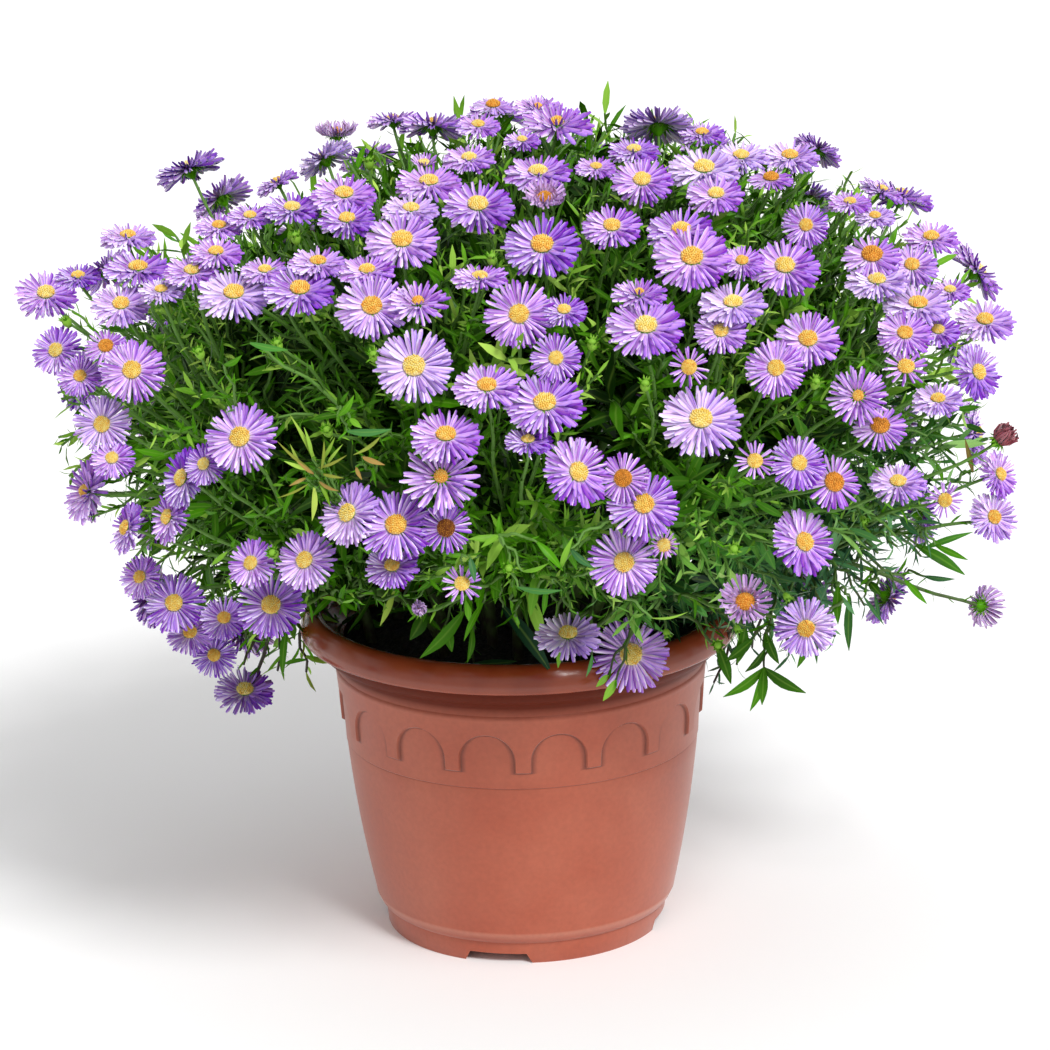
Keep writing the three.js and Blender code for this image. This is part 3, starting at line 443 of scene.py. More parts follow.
@dataclass(frozen=True)
class PolishedRimPolypropylene:
    """The same plastic where the mould is polished: darker, deeper and glossy."""

    body: str = "#863417"
    pale_tone: str = "#974223"
    ior: float = 1.49
    roughness: tuple[float, float] = (0.14, 0.32)
    coat_weight: float = 0.3
    coat_roughness: float = 0.12
    cloud_mm: float = 17.0

    def build(self) -> Material:
        """Builds the glossy rim and returns its material."""
        coat = Coat("polished_rim_polypropylene")
        add = coat.add
        place = add("ShaderNodeTexCoord", out="Object")
        # Handling dulls the polish in patches
        cloud = add(
            "ShaderNodeTexNoise", {"Vector": place, "Scale": 1 / (self.cloud_mm * MM), "Detail": 4.0})
        colour = add("ShaderNodeValToRGB", (cloud,), stops=((0.35, self.body), (0.8, self.pale_tone)))
        return coat.done({
            "Base Color": colour,
            "Roughness": add("ShaderNodeMapRange", (cloud, 0.0, 1.0, *self.roughness)),
            "IOR": self.ior,
            "Coat Weight": self.coat_weight,
            "Coat Roughness": self.coat_roughness,
        })


@dataclass(frozen=True)
class PottingSoil:
    """Dark damp peat in crumbs, with painted shade between them."""

    damp_and_gap_shade: str = "#0b0b0c"
    dry: str = "#2c231c"
    roughness: float = 0.95
    crumb_mm: float = 2.4
    crumb_depth_mm: float = 1.2
    crumb_strength: float = 0.8

    def build(self) -> Material:
        """Builds the soil and returns its material."""
        coat = Coat("damp_peat")
        add = coat.add
        place = add("ShaderNodeTexCoord", out="Object")
        # Each crumb is paler in its middle and darker round its edge: the dark colour of damp peat, and
        # painted shade between the crumbs, so that the soil is dark and matt
        crumb = add("ShaderNodeTexVoronoi", {"Vector": place, "Scale": 1 / (self.crumb_mm * MM)})
        return coat.done({
            "Base Color": add("ShaderNodeValToRGB", (crumb,), stops=((0.1, self.dry), (0.6, self.damp_and_gap_shade))),
            "Normal": add("ShaderNodeBump", {
                "Height": crumb, "Strength": self.crumb_strength, "Distance": self.crumb_depth_mm * MM}),
            "Roughness": self.roughness,
        })


@dataclass(frozen=True)
class RayPetal:
    """Thin violet ray: silky, a little see-through, whitish at its root, with a painted highlight along one
    edge and painted shade along the other.
    """

    root: str = "#efdcee"
    middle: str = "#cb98e8"
    tip: str = "#b87de2"
    # Painted shade: a deeper violet for heads in shade and along the shaded edge of each ray
    deep: str = "#5414b4"
    pale: str = "#e4d4fa"
    # Painted highlight: the whitish colour along the lit edge of each ray
    edge: str = "#fbf3ff"
    spent: str = "#c9a9d0"
    dried: str = "#9c5a58"
    value: tuple[float, float] = (0.68, 1.34)
    saturation: tuple[float, float] = (1.3, 0.9)
    roughness: float = 0.6
    specular: float = 0.25
    sheen: float = 0.15
    subsurface: float = 0.12
    subsurface_mm: float = 1.5

    def build(self) -> Material:
        """Builds the ray's silk and returns its material."""
        coat = Coat("aster_ray_silk")
        add = coat.add
        along, across, luck, tint, wilt = (
            add("ShaderNodeAttribute", out="Fac", attribute_name=name)
            for name in ("along", "across", "luck", "tint", "wilt"))
        colour = add("ShaderNodeValToRGB", (along,), stops=(
            (0.0, self.root), (0.28, self.middle), (0.7, self.middle), (1.0, self.tip)))
        # Heads differ: heads in shade get a painted shade, a deeper violet, and old ones are paler and then
        # brown. A painted highlight in whitish along one edge of each ray and painted shade along the other
        # make the stripes of the head
        for reader, start, end, share, over in (
            (tint, 0.5, 0.0, 0.8, self.deep), (tint, 0.5, 1.0, 0.85, self.pale),
            (across, -0.1, -1.0, 0.6, self.deep), (across, 0.2, 1.0, 0.85, self.edge),
            (wilt, 0.0, 0.7, 0.7, self.spent), (wilt, 0.8, 1.0, 0.9, self.dried),
        ):
            factor = add("ShaderNodeMapRange", (reader, start, end, 0.0, share))
            colour = add(
                "ShaderNodeMix", {"Factor": factor, "A": colour, "B": linear(over)}, 2, data_type="RGBA")
        # No two rays have the same strength
        value, saturation = (
            add("ShaderNodeMapRange", (luck, 0.0, 1.0, *limits))
            for limits in (self.value, self.saturation))
        return coat.done({
            "Base Color": add(
                "ShaderNodeHueSaturation", {"Saturation": saturation, "Value": value, "Color": colour}),
            "Roughness": self.roughness,
            "Specular IOR Level": self.specular,
            "Sheen Weight": self.sheen,
            "Subsurface Weight": self.subsurface,
            "Subsurface Scale": self.subsurface_mm * MM,
        })


@dataclass(frozen=True)
class DiscFloret:
    """Packed waxy florets: lemon at first, then orange, and brown when they are over."""

    open_floret: str = "#fff7b2"
    young: str = "#ffe274"
    ripe: str = "#f6ae40"
    over: str = "#84461c"
    ring_weight: float = 0.06
    luck_weight: float = 0.36
    roughness: float = 0.6
    specular: float = 0.3

    def build(self) -> Material:
        """Builds the floret wax and returns its material."""
        coat = Coat("disc_floret_wax")
        add = coat.add
        level, ring, luck = (
            add("ShaderNodeAttribute", out="Fac", attribute_name=name)
            for name in ("age", "ring", "luck"))
        # Florets open from the edge inward, so the ring at the edge is a little older
        for reader, weight in ((ring, self.ring_weight), (luck, self.luck_weight)):
            level = add("ShaderNodeMath", (reader, weight, level), operation="MULTIPLY_ADD")
        return coat.done({
            "Base Color": add("ShaderNodeValToRGB", (level,), stops=(
                (0.10, self.open_floret), (0.30, self.young), (0.55, self.ripe), (1.0, self.over))),
            "Roughness": self.roughness,
            "Specular IOR Level": self.specular,
        })


@dataclass(frozen=True)
class AsterLeaf:
    """Smooth narrow leaf: waxy, mid green, with a paler midrib."""

    # young is also the painted light of leaves in the light, and shaded the painted shade inside the plant
    young: str = "#b2da5c"
    grown: str = "#4e930a"
    shaded: str = "#0f2c02"
    blue_shade: str = "#12352a"
    blue_light: str = "#5f9c7c"
    dry: str = "#a8844a"
    luck_weight: float = 0.5
    midrib_half: float = 0.25
    midrib_share: float = 0.15
    roughness: float = 0.36
    specular: float = 0.1

    def build(self) -> Material:
        """Builds the leaf's wax and returns its material."""
        coat = Coat("aster_leaf_wax")
        add = coat.add
        across, luck, light, cool, dry = (
            add("ShaderNodeAttribute", out="Fac", attribute_name=name)
            for name in ("across", "luck", "light", "cool", "dry"))
        # Leaves in the light get painted light, a brighter and yellower green, and those inside the plant
        # painted shade, a darker one
        spread = add("ShaderNodeMath", (luck, self.luck_weight, light), operation="MULTIPLY_ADD")
        level = add("ShaderNodeMapRange", (spread, 0.25, 1.25, 0.0, 1.0))
        colour = add("ShaderNodeValToRGB", (level,), stops=(
            (0.0, self.shaded), (0.55, self.grown), (1.0, self.young)))
        bluish = add(
            "ShaderNodeValToRGB", (level,), stops=((0.0, self.blue_shade), (1.0, self.blue_light)))
        # The wax takes a pale line from the midrib, and dry leaves lose their green
        middle = add("ShaderNodeMath", (across,), operation="ABSOLUTE")
        ribbed = add("ShaderNodeMapRange", (middle, 0.0, self.midrib_half, self.midrib_share, 0.0))
        for share, over in ((cool, bluish), (dry, linear(self.dry)), (ribbed, linear(self.young))):
            colour = add("ShaderNodeMix", {"Factor": share, "A": colour, "B": over}, 2, data_type="RGBA")
        return coat.done({
            "Base Color": colour, "Roughness": self.roughness, "Specular IOR Level": self.specular})


@dataclass(frozen=True)
class GreenBark:
    """Young stem skin: smooth green that browns towards the root."""

    green: str = "#5d8a34"
    brown: str = "#2b2412"
    green_over: float = 240.0
    brown_under: float = 170.0
    mottle_mm: float = 4.55
    mottle_rise_mm: float = 60.0
    roughness: float = 0.6

    def build(self) -> Material:
        """Builds the stem skin and returns its material."""
        coat = Coat("green_bark")
        add = coat.add
        place = add("ShaderNodeTexCoord", out="Object")
        height = add("ShaderNodeSeparateXYZ", (place,), "Z")
        # Skin turns to wood from the root up, in mottles, and the dark brown low down is also painted shade,
        # so that the inside of the plant is dark
        mottle = add("ShaderNodeTexNoise", {"Vector": place, "Scale": 1 / (self.mottle_mm * MM)})
        rise = self.mottle_rise_mm * MM
        level = add("ShaderNodeMath", (mottle, rise, height), operation="MULTIPLY_ADD")
        stops = ((self.brown_under * MM, self.brown), (self.green_over * MM, self.green))
        return coat.done({
            "Base Color": add("ShaderNodeValToRGB", (level,), stops=stops), "Roughness": self.roughness})


@dataclass(frozen=True)
class StudioPaper:
    """Matt white studio paper: without a highlight, so that the floor is even."""

    white: str = "#fdfdfd"
    roughness: float = 0.9

    def build(self) -> Material:
        """Builds the paper and returns its material."""
        return Coat("studio_paper").done({
            "Base Color": linear(self.white), "Roughness": self.roughness, "Specular IOR Level": 0.0})


# Viewpoint


@dataclass
class Viewpoint:
    """The place from which the plant was photographed, and its picture scale."""

    eye: tuple[float, float, float] = (0.0, -2.069, 0.8178)
    pitch_deg: float = 16.95
    yaw_deg: float = 0.09
    roll_deg: float = -1.26
    focal_pixels: float = 4780.0
    centre_pixel: float = 525.0
    picture_pixels: float = 1050.0
    sensor_mm: float = 36.0
    far: float = 30.0

    def axes(self) -> tuple[Vector, Vector, Vector]:
        """Returns the directions to the right, up and forward."""
        pitch, yaw, roll = (math.radians(a) for a in (self.pitch_deg, self.yaw_deg, self.roll_deg))
        forward = Vector((math.sin(yaw) * math.cos(pitch), math.cos(yaw) * math.cos(pitch), -math.sin(pitch)))
        level = Vector((math.cos(yaw), -math.sin(yaw), 0))
        above = level.cross(forward)
        right = level * math.cos(roll) + above * math.sin(roll)
        up = above * math.cos(roll) - level * math.sin(roll)
        return right, up, forward

    def pixel(self, point: Vector) -> Vector:
        """Projects a point to the picture.

        Args:
            point: Point in metres.

        Returns:
            Picture x and y in pixels.
        """
        right, up, forward = self.axes()
        ray = point - Vector(self.eye)
        depth = ray.dot(forward)
        across = self.centre_pixel + self.focal_pixels * ray.dot(right) / depth
        down = self.centre_pixel - self.focal_pixels * ray.dot(up) / depth
        return Vector((across, down))

    def place(self, picture: tuple[float, float], front: float) -> Vector:
        """Finds the point seen at a picture place, in an upright plane before the pot's axis.

        Args:
            picture: Picture x and y in pixels.
            front: Distance of the plane before the pot's axis, in millimetres.

        Returns:
            The point in metres.
        """
        right, up, forward = self.axes()
        across = (picture[0] - self.centre_pixel) / self.focal_pixels
        rise = (self.centre_pixel - picture[1]) / self.focal_pixels
        sight = forward + right * across + up * rise
        eye = Vector(self.eye)
        return eye + sight * ((-front * MM - eye.y) / sight.y)

    def camera(self) -> Object:
        """Places the camera and returns it."""
        right, up, forward = self.axes()
        data = bpy.data.cameras.new("viewpoint")
        data.sensor_width = self.sensor_mm
        data.lens = self.sensor_mm * self.focal_pixels / self.picture_pixels
        data.clip_end = self.far
        camera = bpy.data.objects.new("viewpoint", data)
        turn = Matrix((right, up, -forward)).transposed().to_4x4()
        camera.matrix_world = Matrix.Translation(self.eye) @ turn
        bpy.context.scene.collection.objects.link(camera)
        bpy.context.scene.camera = camera
        return camera


@dataclass
class Studio:
    """Pale paper floor, bright air and a broad soft key from the front right."""

    paper_side: float = 12.0
    air: float = 0.70
    key_strength: float = 2.25
    key_elevation_deg: float = 46.0
    key_azimuth_deg: float = 28.0
    key_softness_deg: float = 17.0

    def key(self) -> None:
        """Sets the key light, far away, to the right of the viewpoint."""
        data = bpy.data.lights.new("key", "SUN")
        data.energy = self.key_strength
        data.angle = math.radians(self.key_softness_deg)
        obj = bpy.data.objects.new("key", data)
        up, side = math.radians(self.key_elevation_deg), math.radians(self.key_azimuth_deg)
        towards = Vector((-math.sin(side) * math.cos(up), math.cos(side) * math.cos(up), -math.sin(up)))
        obj.rotation_euler = towards.to_track_quat("-Z", "Y").to_euler()
        bpy.context.scene.collection.objects.link(obj)

    def build(self) -> None:
        """Lays the paper, lights the air and sets the key."""
        half = self.paper_side / 2
        corners = np.array([(-half, -half, 0), (half, -half, 0), (half, half, 0), (-half, half, 0)], float)
        paper = mesh_object("studio_floor", mesh_from("studio_floor", corners, [(0, 1, 2, 3)]))
        paper.data.materials.append(StudioPaper().build())
        world = bpy.data.worlds.new("studio_air")
        world.use_nodes = True
        background = world.node_tree.nodes["Background"]
        background.inputs["Color"].default_value = (1, 1, 1, 1)
        background.inputs["Strength"].default_value = self.air
        bpy.context.scene.world = world
        self.key()
        bpy.context.scene.view_settings.view_transform = "Standard"


# Pot


@dataclass
class Pot:
    """One moulded pot: foot with notches, tapered wall with an arcade, bead, cove and rolled rim."""

    foot_radius: float = 63.8
    foot_height: float = 10.6
    shoulder: tuple[float, float] = (68.6, 15.0)
    wall_base: float = 65.07
    wall_slope: float = 0.2483
    wall_bulge: float = -0.000868
    wall_heights: tuple[float, ...] = (16.4, 19, 26, 34, 42, 50, 58, 66, 74, 82, 88.8)
    fine_line: float = 89.4
    relief_bottom: float = 97.0
    relief_depth: float = 1.4
    bead: tuple[float, float] = (84.4, 122.0)
    bead_steps: Pairs = ((0, 0), (0.25, 0.8), (0.2, 1.8), (-0.3, 2.6), (-0.2, 3.4))
    rim: Pairs = (
        (85.4, 128.0), (86.9, 130.5), (88.9, 132.0), (91.0, 133.0), (92.6, 134.6), (93.6, 136.8),
        (94.0, 139.2), (94.5, 139.6), (98.6, 139.7), (99.3, 139.9), (99.8, 140.5), (100.0, 141.5),
        (100.0, 143.0), (99.5, 145.2), (98.6, 147.4), (97.4, 149.4), (96.2, 150.8), (94.9, 151.7),
        (93.6, 152.0), (92.0, 151.8), (90.8, 151.2), (90.2, 150.2), (89.8, 148.4), (89.2, 146.4),
        (88.2, 145.0), (86.6, 144.0))
    inner_heights: tuple[float, ...] = (138.0, 120.0, 90.0, 60.0, 30.0, 14.0)
    gloss_from: float = 139.0
    arch_count: int = 16
    arch_half_width: float = 12.0
    springing: float = 103.0
    notch_count: int = 4
    notch_first_deg: float = -102.0
    notch_half_deg: float = 14.5
    notch_height: float = 4.7
    notch_slant: float = 3.0
    notch_reach: tuple[float, float] = (50.0, 75.0)
    cut_past: float = 3.0
    wall_thickness: float = 2.2
    floor_top: float = 8.0
    floor_underside: float = 5.0
    drain_count: int = 4
    drain_radius: float = 5.0
    drain_circle: float = 38.0
    drain_sides: int = 20
    arch_columns: int = 10
    pier_columns: int = 6
    draft: float = 0.8
    least_column: float = 0.6
    swell_from: float = 112.0
    # Shares of painted shade in the arcade's steps, the fine groove and the foot, and of the pale shoulder
    # line
    corner_shade: float = 0.8
    groove_shade: float = 0.35
    foot_shade: float = 0.3
    shoulder_line_share: float = 0.25
    sharp_deg: float = 38.0

    def wall(self, height: float) -> float:
        """Returns the plain wall's outer radius at a height, in millimetres."""
        return self.wall_base + self.wall_slope * height + self.wall_bulge * height * height

    def outline(self) -> list[tuple[float, float]]:
        """Returns the outer outline over the arcade, as radius and height in millimetres."""
        foot, step = self.foot_radius, self.foot_height
        radius, height = self.shoulder
        lower = [
            (foot - 0.4, 0.0), (foot, 0.5), (foot + 1.0, step - 0.6), (foot + 1.6, step), (66.4, step + 0.5),
            (67.3, 12.4), (radius - 0.2, height - 0.4), (radius + 0.2, height + 0.5),
        ]
        wall = [(self.wall(z), z) for z in self.wall_heights]
        line = self.fine_line
        groove = [(self.wall(line) - 0.25, line), (self.wall(line) + 0.3, line + 0.5)]
        return lower + wall + groove + [(self.wall(92) + 0.15, 92.0)]

    def upper_outline(self) -> list[tuple[float, float]]:
        """Returns the outline from the bead over the rim and down inside to the floor."""
        radius, height = self.bead
        bead = [(radius + out, height + up) for out, up in self.bead_steps]
        inside = [(self.wall(z) - self.wall_thickness, z) for z in self.inner_heights]
        end = (self.wall(self.floor_top) - self.wall_thickness - 2, self.floor_top)
        return [*bead, *self.rim, *inside, end]

    def arcade_rows(self) -> list[float]:
        """Returns the heights of the rows across the arcade, close together round the arch heads."""
        low = self.relief_bottom
        rows = [low - 0.6, low - 0.1, low + self.draft, 99.0, 101.0]
        rows += [self.springing + self.arch_half_width * math.sin(math.radians(a)) for a in range(0, 90, 6)]
        crown = self.springing + self.arch_half_width
        return rows + [crown, crown + 0.35, crown + self.draft, crown + 1.4, 118.0, 120.0, self.bead[1] - 0.5]

    def half_opening(self, z: float, radius: float) -> float:
        """Returns half the width of a round arch at a height, 0 over its crown.

        Args:
            z: Height in millimetres.
            radius: The arch's radius in millimetres.

        Returns:
            Half the opening in millimetres.
        """
        rise = max(0.0, z - self.springing)
        return math.sqrt(max(0.0, radius**2 - rise * rise))

    def column_offset(self, step: int, z: float, half_bay: float) -> float:
        """Places one column of a bay at one height.

        Args:
            step: Column number from the middle of the arch, 0 to the last one of the half bay.
            z: Height in millimetres.
            half_bay: Half width of the bay, in millimetres.

        Returns:
            Distance from the arch's middle in millimetres.
        """
        inner = self.arch_columns // 2
        if step <= inner:
            return max(self.least_column, self.half_opening(z, self.arch_half_width)) * step / inner
        start = max(1.5 * self.least_column, self.half_opening(z, self.arch_half_width + self.draft))
        return start + (half_bay - start) * (step - inner - 1) / (self.pier_columns // 2)

    def relief(self, offset: float, z: float) -> float:
        """Returns 0 in the arch openings, 1 on the relief and shares between on the drafted step.

        Args:
            offset: Distance from the arch's middle, in millimetres.
            z: Height in millimetres.

        Returns:
            Share of the relief's depth.
        """
        from_centre = math.hypot(offset, max(0.0, z - self.springing))
        side = min(1.0, max(0.0, (from_centre - self.arch_half_width) / self.draft))
        return side * min(1.0, max(0.0, (z - self.relief_bottom) / self.draft))

    def proud(self, z: float) -> float:
        """Returns how far the relief stands out at a height, in millimetres."""
        top_radius = self.bead[0] - self.wall(self.bead[1])
        share = max(0.0, (z - self.swell_from) / (self.bead[1] - self.swell_from))
        return self.relief_depth + (top_radius - self.relief_depth) * share

    def grid(self) -> tuple[np.ndarray, list[tuple[int, ...]]]:
        """Lays the whole skin as rows of columns that follow the arch edges.

        Returns:
            Points and faces.
        """
        half_columns = self.arch_columns // 2 + self.pier_columns // 2 + 1
        rows: list[tuple[bool, float, float]] = [(False, r, z) for r, z in self.outline()]
        rows += [(True, self.wall(z), z) for z in self.arcade_rows()]
        rows += [(False, r, z) for r, z in self.upper_outline()]
        points = []
        for arcade, radius, z in rows:
            girth = self.wall(min(z, self.bead[1]))
            half_bay = math.pi * girth / self.arch_count
            for bay in range(self.arch_count):
                middle = -math.pi / 2 + (bay + 0.5) / self.arch_count * 2 * math.pi
                for step in range(-half_columns, half_columns):
                    offset = self.column_offset(abs(step), z, half_bay)
                    here = radius + self.proud(z) * self.relief(offset, z) if arcade else radius
                    angle = middle + math.copysign(offset, step) / girth
                    points.append((here * math.cos(angle) * MM, here * math.sin(angle) * MM, z * MM))
        count = 2 * half_columns * self.arch_count
        faces = []
        for low in range(0, (len(rows) - 1) * count, count):
            for column in range(count):
                after = (column + 1) % count
                faces.append((low + column, low + after, low + count + after, low + count + column))
        return np.array(points), faces

    def crease_shade_and_shoulder_line(self, mesh: Mesh) -> None:
        """Writes where painted shade darkens the steps and corners, the groove and the foot, and where a pale
        line runs along the shoulder, as shares for each point.

        Args:
            mesh: The pot's mesh.
        """
        grime, wear = [], []
        bay_turn = 2 * math.pi / self.arch_count
        for vertex in mesh.vertices:
            place = vertex.co / MM
            radius, z = math.hypot(place.x, place.y), place.z
            turn = (math.atan2(place.y, place.x) + math.pi / 2) % bay_turn - bay_turn / 2
            offset = abs(turn) * radius
            on_wall = radius > self.wall(z) - 1.0
            crease_shade, pale_line = 0.0, 0.0
            # Painted shade on the steps round the arches and at the feet of the piers, then in the fine
            # groove and in the step of the foot
            if on_wall and self.relief_bottom - 0.3 < z < self.springing + self.arch_half_width + self.draft:
                from_centre = math.hypot(offset, max(0.0, z - self.springing))
                at_step = abs(from_centre - self.arch_half_width) < 0.3
                at_foot = z < self.relief_bottom + 0.1 and from_centre > self.arch_half_width
                crease_shade = self.corner_shade if at_step or at_foot else 0.0
            if on_wall and abs(z - self.fine_line) < 0.2:
                crease_shade = self.groove_shade
            # A thin pale line along the shoulder
            if on_wall and abs(z - self.shoulder[1] - 0.05) < 0.6:
                pale_line = self.shoulder_line_share
            if on_wall and abs(z - self.foot_height - 0.2) < 0.4:
                crease_shade = self.foot_shade
            grime.append(crease_shade)
            wear.append(pale_line)
        write(mesh, grime=grime, wear=wear)

    def build(self, satin: Material, gloss: Material) -> Object:
        """Builds the pot and puts it in the place of its CAD solid.

        Args:
            satin: Finish of the wall.
            gloss: Finish of the rim.

        Returns:
            The pot.
        """
        points, faces = self.grid()
        count = (self.arch_columns + self.pier_columns + 2) * self.arch_count
        last = len(points) - count
        angles = np.arctan2(points[:count, 1], points[:count, 0])
        circle = np.column_stack((np.cos(angles), np.sin(angles), np.zeros(count)))
        inner_foot = circle * (self.foot_radius - 2.2) * MM
        inner_top = circle * (self.foot_radius - 2.4) * MM + np.array([0, 0, self.floor_underside * MM])
        base = len(points)
        centres = np.array([(0, 0, self.floor_underside), (0, 0, self.floor_top)]) * MM
        points = np.vstack((points, inner_foot, inner_top, centres))
        low_centre, high_centre = base + 2 * count, base + 2 * count + 1
        for column in range(count):
            after = (column + 1) % count
            faces.append((column, base + column, base + after, after)[::-1])
            faces.append((base + column, base + count + column, base + count + after, base + after)[::-1])
            faces.append((base + count + column, low_centre, base + count + after)[::-1])
            faces.append((last + column, last + after, high_centre))
        pot = mesh_object("moulded_pot", closed_mesh("moulded_pot", points, faces))
        self.cut_openings(pot)
        mesh = pot.data
        mesh.materials.clear()
        mesh.materials.append(satin)
        mesh.materials.append(gloss)
        for face in mesh.polygons:
            face.material_index = int(face.center.z / MM > self.gloss_from)
        self.crease_shade_and_shoulder_line(mesh)
        mesh.shade_smooth()
        mesh.set_sharp_from_angle(angle=math.radians(self.sharp_deg))
        return settle(pot, "pot_plastic", "pot")

    def cut_openings(self, pot: Object) -> None:
        """Cuts the foot's notches and the drain holes.

        Args:
            pot: The closed shell.
        """
        cutters = []
        for i in range(self.notch_count):
            angle = math.radians(self.notch_first_deg) + i / self.notch_count * 2 * math.pi
            half = self.foot_radius * math.sin(math.radians(self.notch_half_deg))
            top, narrow = self.notch_height, half - self.notch_slant
            profile = [(-half, -1.0), (half, -1.0), (narrow, top), (-narrow, top)]
            turn = Matrix.Rotation(angle + math.pi / 2, 3, "Z")
            corners = [turn @ Vector((x, -depth, z)) * MM for depth in self.notch_reach for x, z in profile]
            sides = [(0, 1, 2, 3), (7, 6, 5, 4), (0, 4, 5, 1), (1, 5, 6, 2), (2, 6, 7, 3), (3, 7, 4, 0)]
            block = closed_mesh(f"notch_{i}", np.array([tuple(c) for c in corners]), sides)
            cutters.append(mesh_object(f"notch_{i}", block))
        for i in range(self.drain_count):
            angle = i / self.drain_count * 2 * math.pi
            centre = Vector((math.cos(angle), math.sin(angle), 0)) * self.drain_circle
            sides = self.drain_sides
            corners = []
            for z in (self.floor_underside - self.cut_past, self.floor_top + self.cut_past):
                for k in range(sides):
                    turn = 2 * math.pi * k / sides
                    corners.append(centre + Vector((math.cos(turn), math.sin(turn), 0)) * self.drain_radius)
                    corners[-1].z = z
            faces = [tuple(range(sides))[::-1], tuple(range(sides, 2 * sides))]
            faces += [(k, (k + 1) % sides, sides + (k + 1) % sides, sides + k) for k in range(sides)]
            block = closed_mesh(f"drain_{i}", np.array(corners) * MM, faces)
            cutters.append(mesh_object(f"drain_{i}", block))
        for cutter in cutters:
            modifier = pot.modifiers.new(cutter.name, "BOOLEAN")
            modifier.operation = "DIFFERENCE"
            modifier.solver = "MANIFOLD"
            modifier.object = cutter
        done = evaluated_mesh(pot)
        pot.modifiers.clear()
        pot.data = done
        for cutter in cutters:
            bpy.data.objects.remove(cutter)


@dataclass
class Soil:
    """The crumbly filling of the pot, a little mounded."""

    level: float = 136.0
    crown: float = 4.0
    radius: float = 80.4
    rings: int = 44
    segments: int = 120
    crumb_rise: float = 0.585
    inside: Pairs = ((79.0, 118.0), (73.9, 60.0), (67.9, 26.0), (62.0, 8.4))
    seed: int = 5

    def build(self, finish: Material) -> Object:
        """Builds the filling as a closed body and puts it in the place of its CAD solid.

        Args:
            finish: Soil finish.

        Returns:
            The soil.
        """
        random = np.random.default_rng(self.seed)
        shares = [ring / self.rings for ring in range(1, self.rings + 1)]
        rows = [(self.radius * share, self.level + self.crown * (1 - share**3)) for share in shares]
        points = [(0.0, 0.0, (self.level + self.crown) * MM)]
        for number, (radius, height) in enumerate([*rows, *self.inside], 1):
            half_step = 0.5 * (min(number, self.rings) % 2)
            for k in range(self.segments):
                angle = 2 * math.pi * (k + half_step) / self.segments
                crumb = random.normal(0, self.crumb_rise) if number < self.rings else 0.0
                flat = radius * math.cos(angle) * MM, radius * math.sin(angle) * MM
                points.append((*flat, (height + crumb) * MM))
        points.append((0.0, 0.0, self.inside[-1][1] * MM))
        faces = [(0, 1 + k, 1 + (k + 1) % self.segments) for k in range(self.segments)]
        for ring in range(self.rings - 1 + len(self.inside)):
            low, high = 1 + ring * self.segments, 1 + (ring + 1) * self.segments
            for k in range(self.segments):
                after = (k + 1) % self.segments
                faces.append((low + k, high + k, high + after, low + after))
        end = len(points) - 1
        last = end - self.segments
        faces += [(last + k, end, last + (k + 1) % self.segments) for k in range(self.segments)]
        mesh = closed_mesh("potting_soil", np.array(points), faces)
        mesh.materials.append(finish)
        return settle(mesh_object("potting_soil", mesh), "potting_soil", "soil")


# Reading the plant's frame


class Look(Enum):
    """How a bloom stands in its life, or how it was seen."""

    FRESH = "fresh"
    PALE = "pale"
    DEEP = "deep"
    FULL = "full"
    RIPE = "ripe"
    BROWN = "brown"
    SPENT = "spent"
    SPARSE = "sparse"
    OPENING = "opening"
    WITHERED = "withered"
    DRIED = "dried"


# Blooms of the photograph that differ from the common fresh one: picture x and y
NOTED_BLOOMS: dict[Look, Pairs] = {
    Look.FULL: ((557, 122), (538, 108)),
    Look.PALE: ((562, 143), (741, 156), (786, 156), (704, 168), (701, 419), (733, 303), (121, 304),
        (877, 278), (918, 304), (892, 236), (938, 399), (994, 517), (809, 627), (161, 290), (324, 158),
        (658, 125), (414, 366)),
    Look.SPENT: ((545, 198), (337, 134), (745, 602), (982, 606)),
    Look.FRESH: ((545, 403), (303, 555), (250, 563)),
    Look.WITHERED: ((419, 613),),
    # Heads in shade, which get painted shade: a deeper violet
    Look.DEEP: ((522, 140), (634, 150), (690, 151), (538, 172), (641, 213), (732, 216), (80, 378),
        (205, 462), (126, 528), (348, 545), (392, 566), (528, 440), (564, 310), (251, 645), (138, 268),
        (978, 372), (174, 603), (190, 632), (214, 655), (224, 618)),
    Look.BROWN: ((446, 528),),
    Look.RIPE: ((771, 178), (872, 255), (106, 346), (880, 426), (834, 482), (623, 478)),
    Look.SPARSE: ((444, 312), (689, 367), (906, 367), (755, 461), (945, 500), (462, 584)),
    Look.OPENING: ((277, 379), (424, 164), (664, 545)),
}
NOTED_WITHIN_PIXELS = 16.0

# Heads that turn away from the front: picture x, y and the way they face
TURNED_HEADS: tuple[tuple[float, float, tuple[float, float, float]], ...] = (
    (982, 605, (0.60, 0.60, -0.30)), (658, 125, (0.00, 0.62, 0.78)), (818, 149, (0.45, 0.50, 0.74)),
    (324, 158, (-0.50, 0.42, 0.75)), (277, 182, (-0.45, 0.20, 0.87)), (393, 120, (-0.05, 0.30, 0.95)),
    (433, 125, (0.05, 0.38, 0.92)), (336, 134, (0.00, 0.15, 0.98)), (882, 190, (0.40, 0.10, 0.90)),
)

# The one head that has dried up, red brown, at the right
DRIED_HEAD_AT = (998, 441)
DRIED_HEAD_RADIUS = 10.5


@dataclass
class Bloom:
    """One bloom of the frame: where its head is, the way it faces and its size."""

    centre: Vector
    normal: Vector
    radius: float
    look: Look = Look.FRESH
    owner: str = ""


@dataclass
class Bud:
    """One bud of the frame."""

    centre: Vector
    normal: Vector
    owner: str = ""


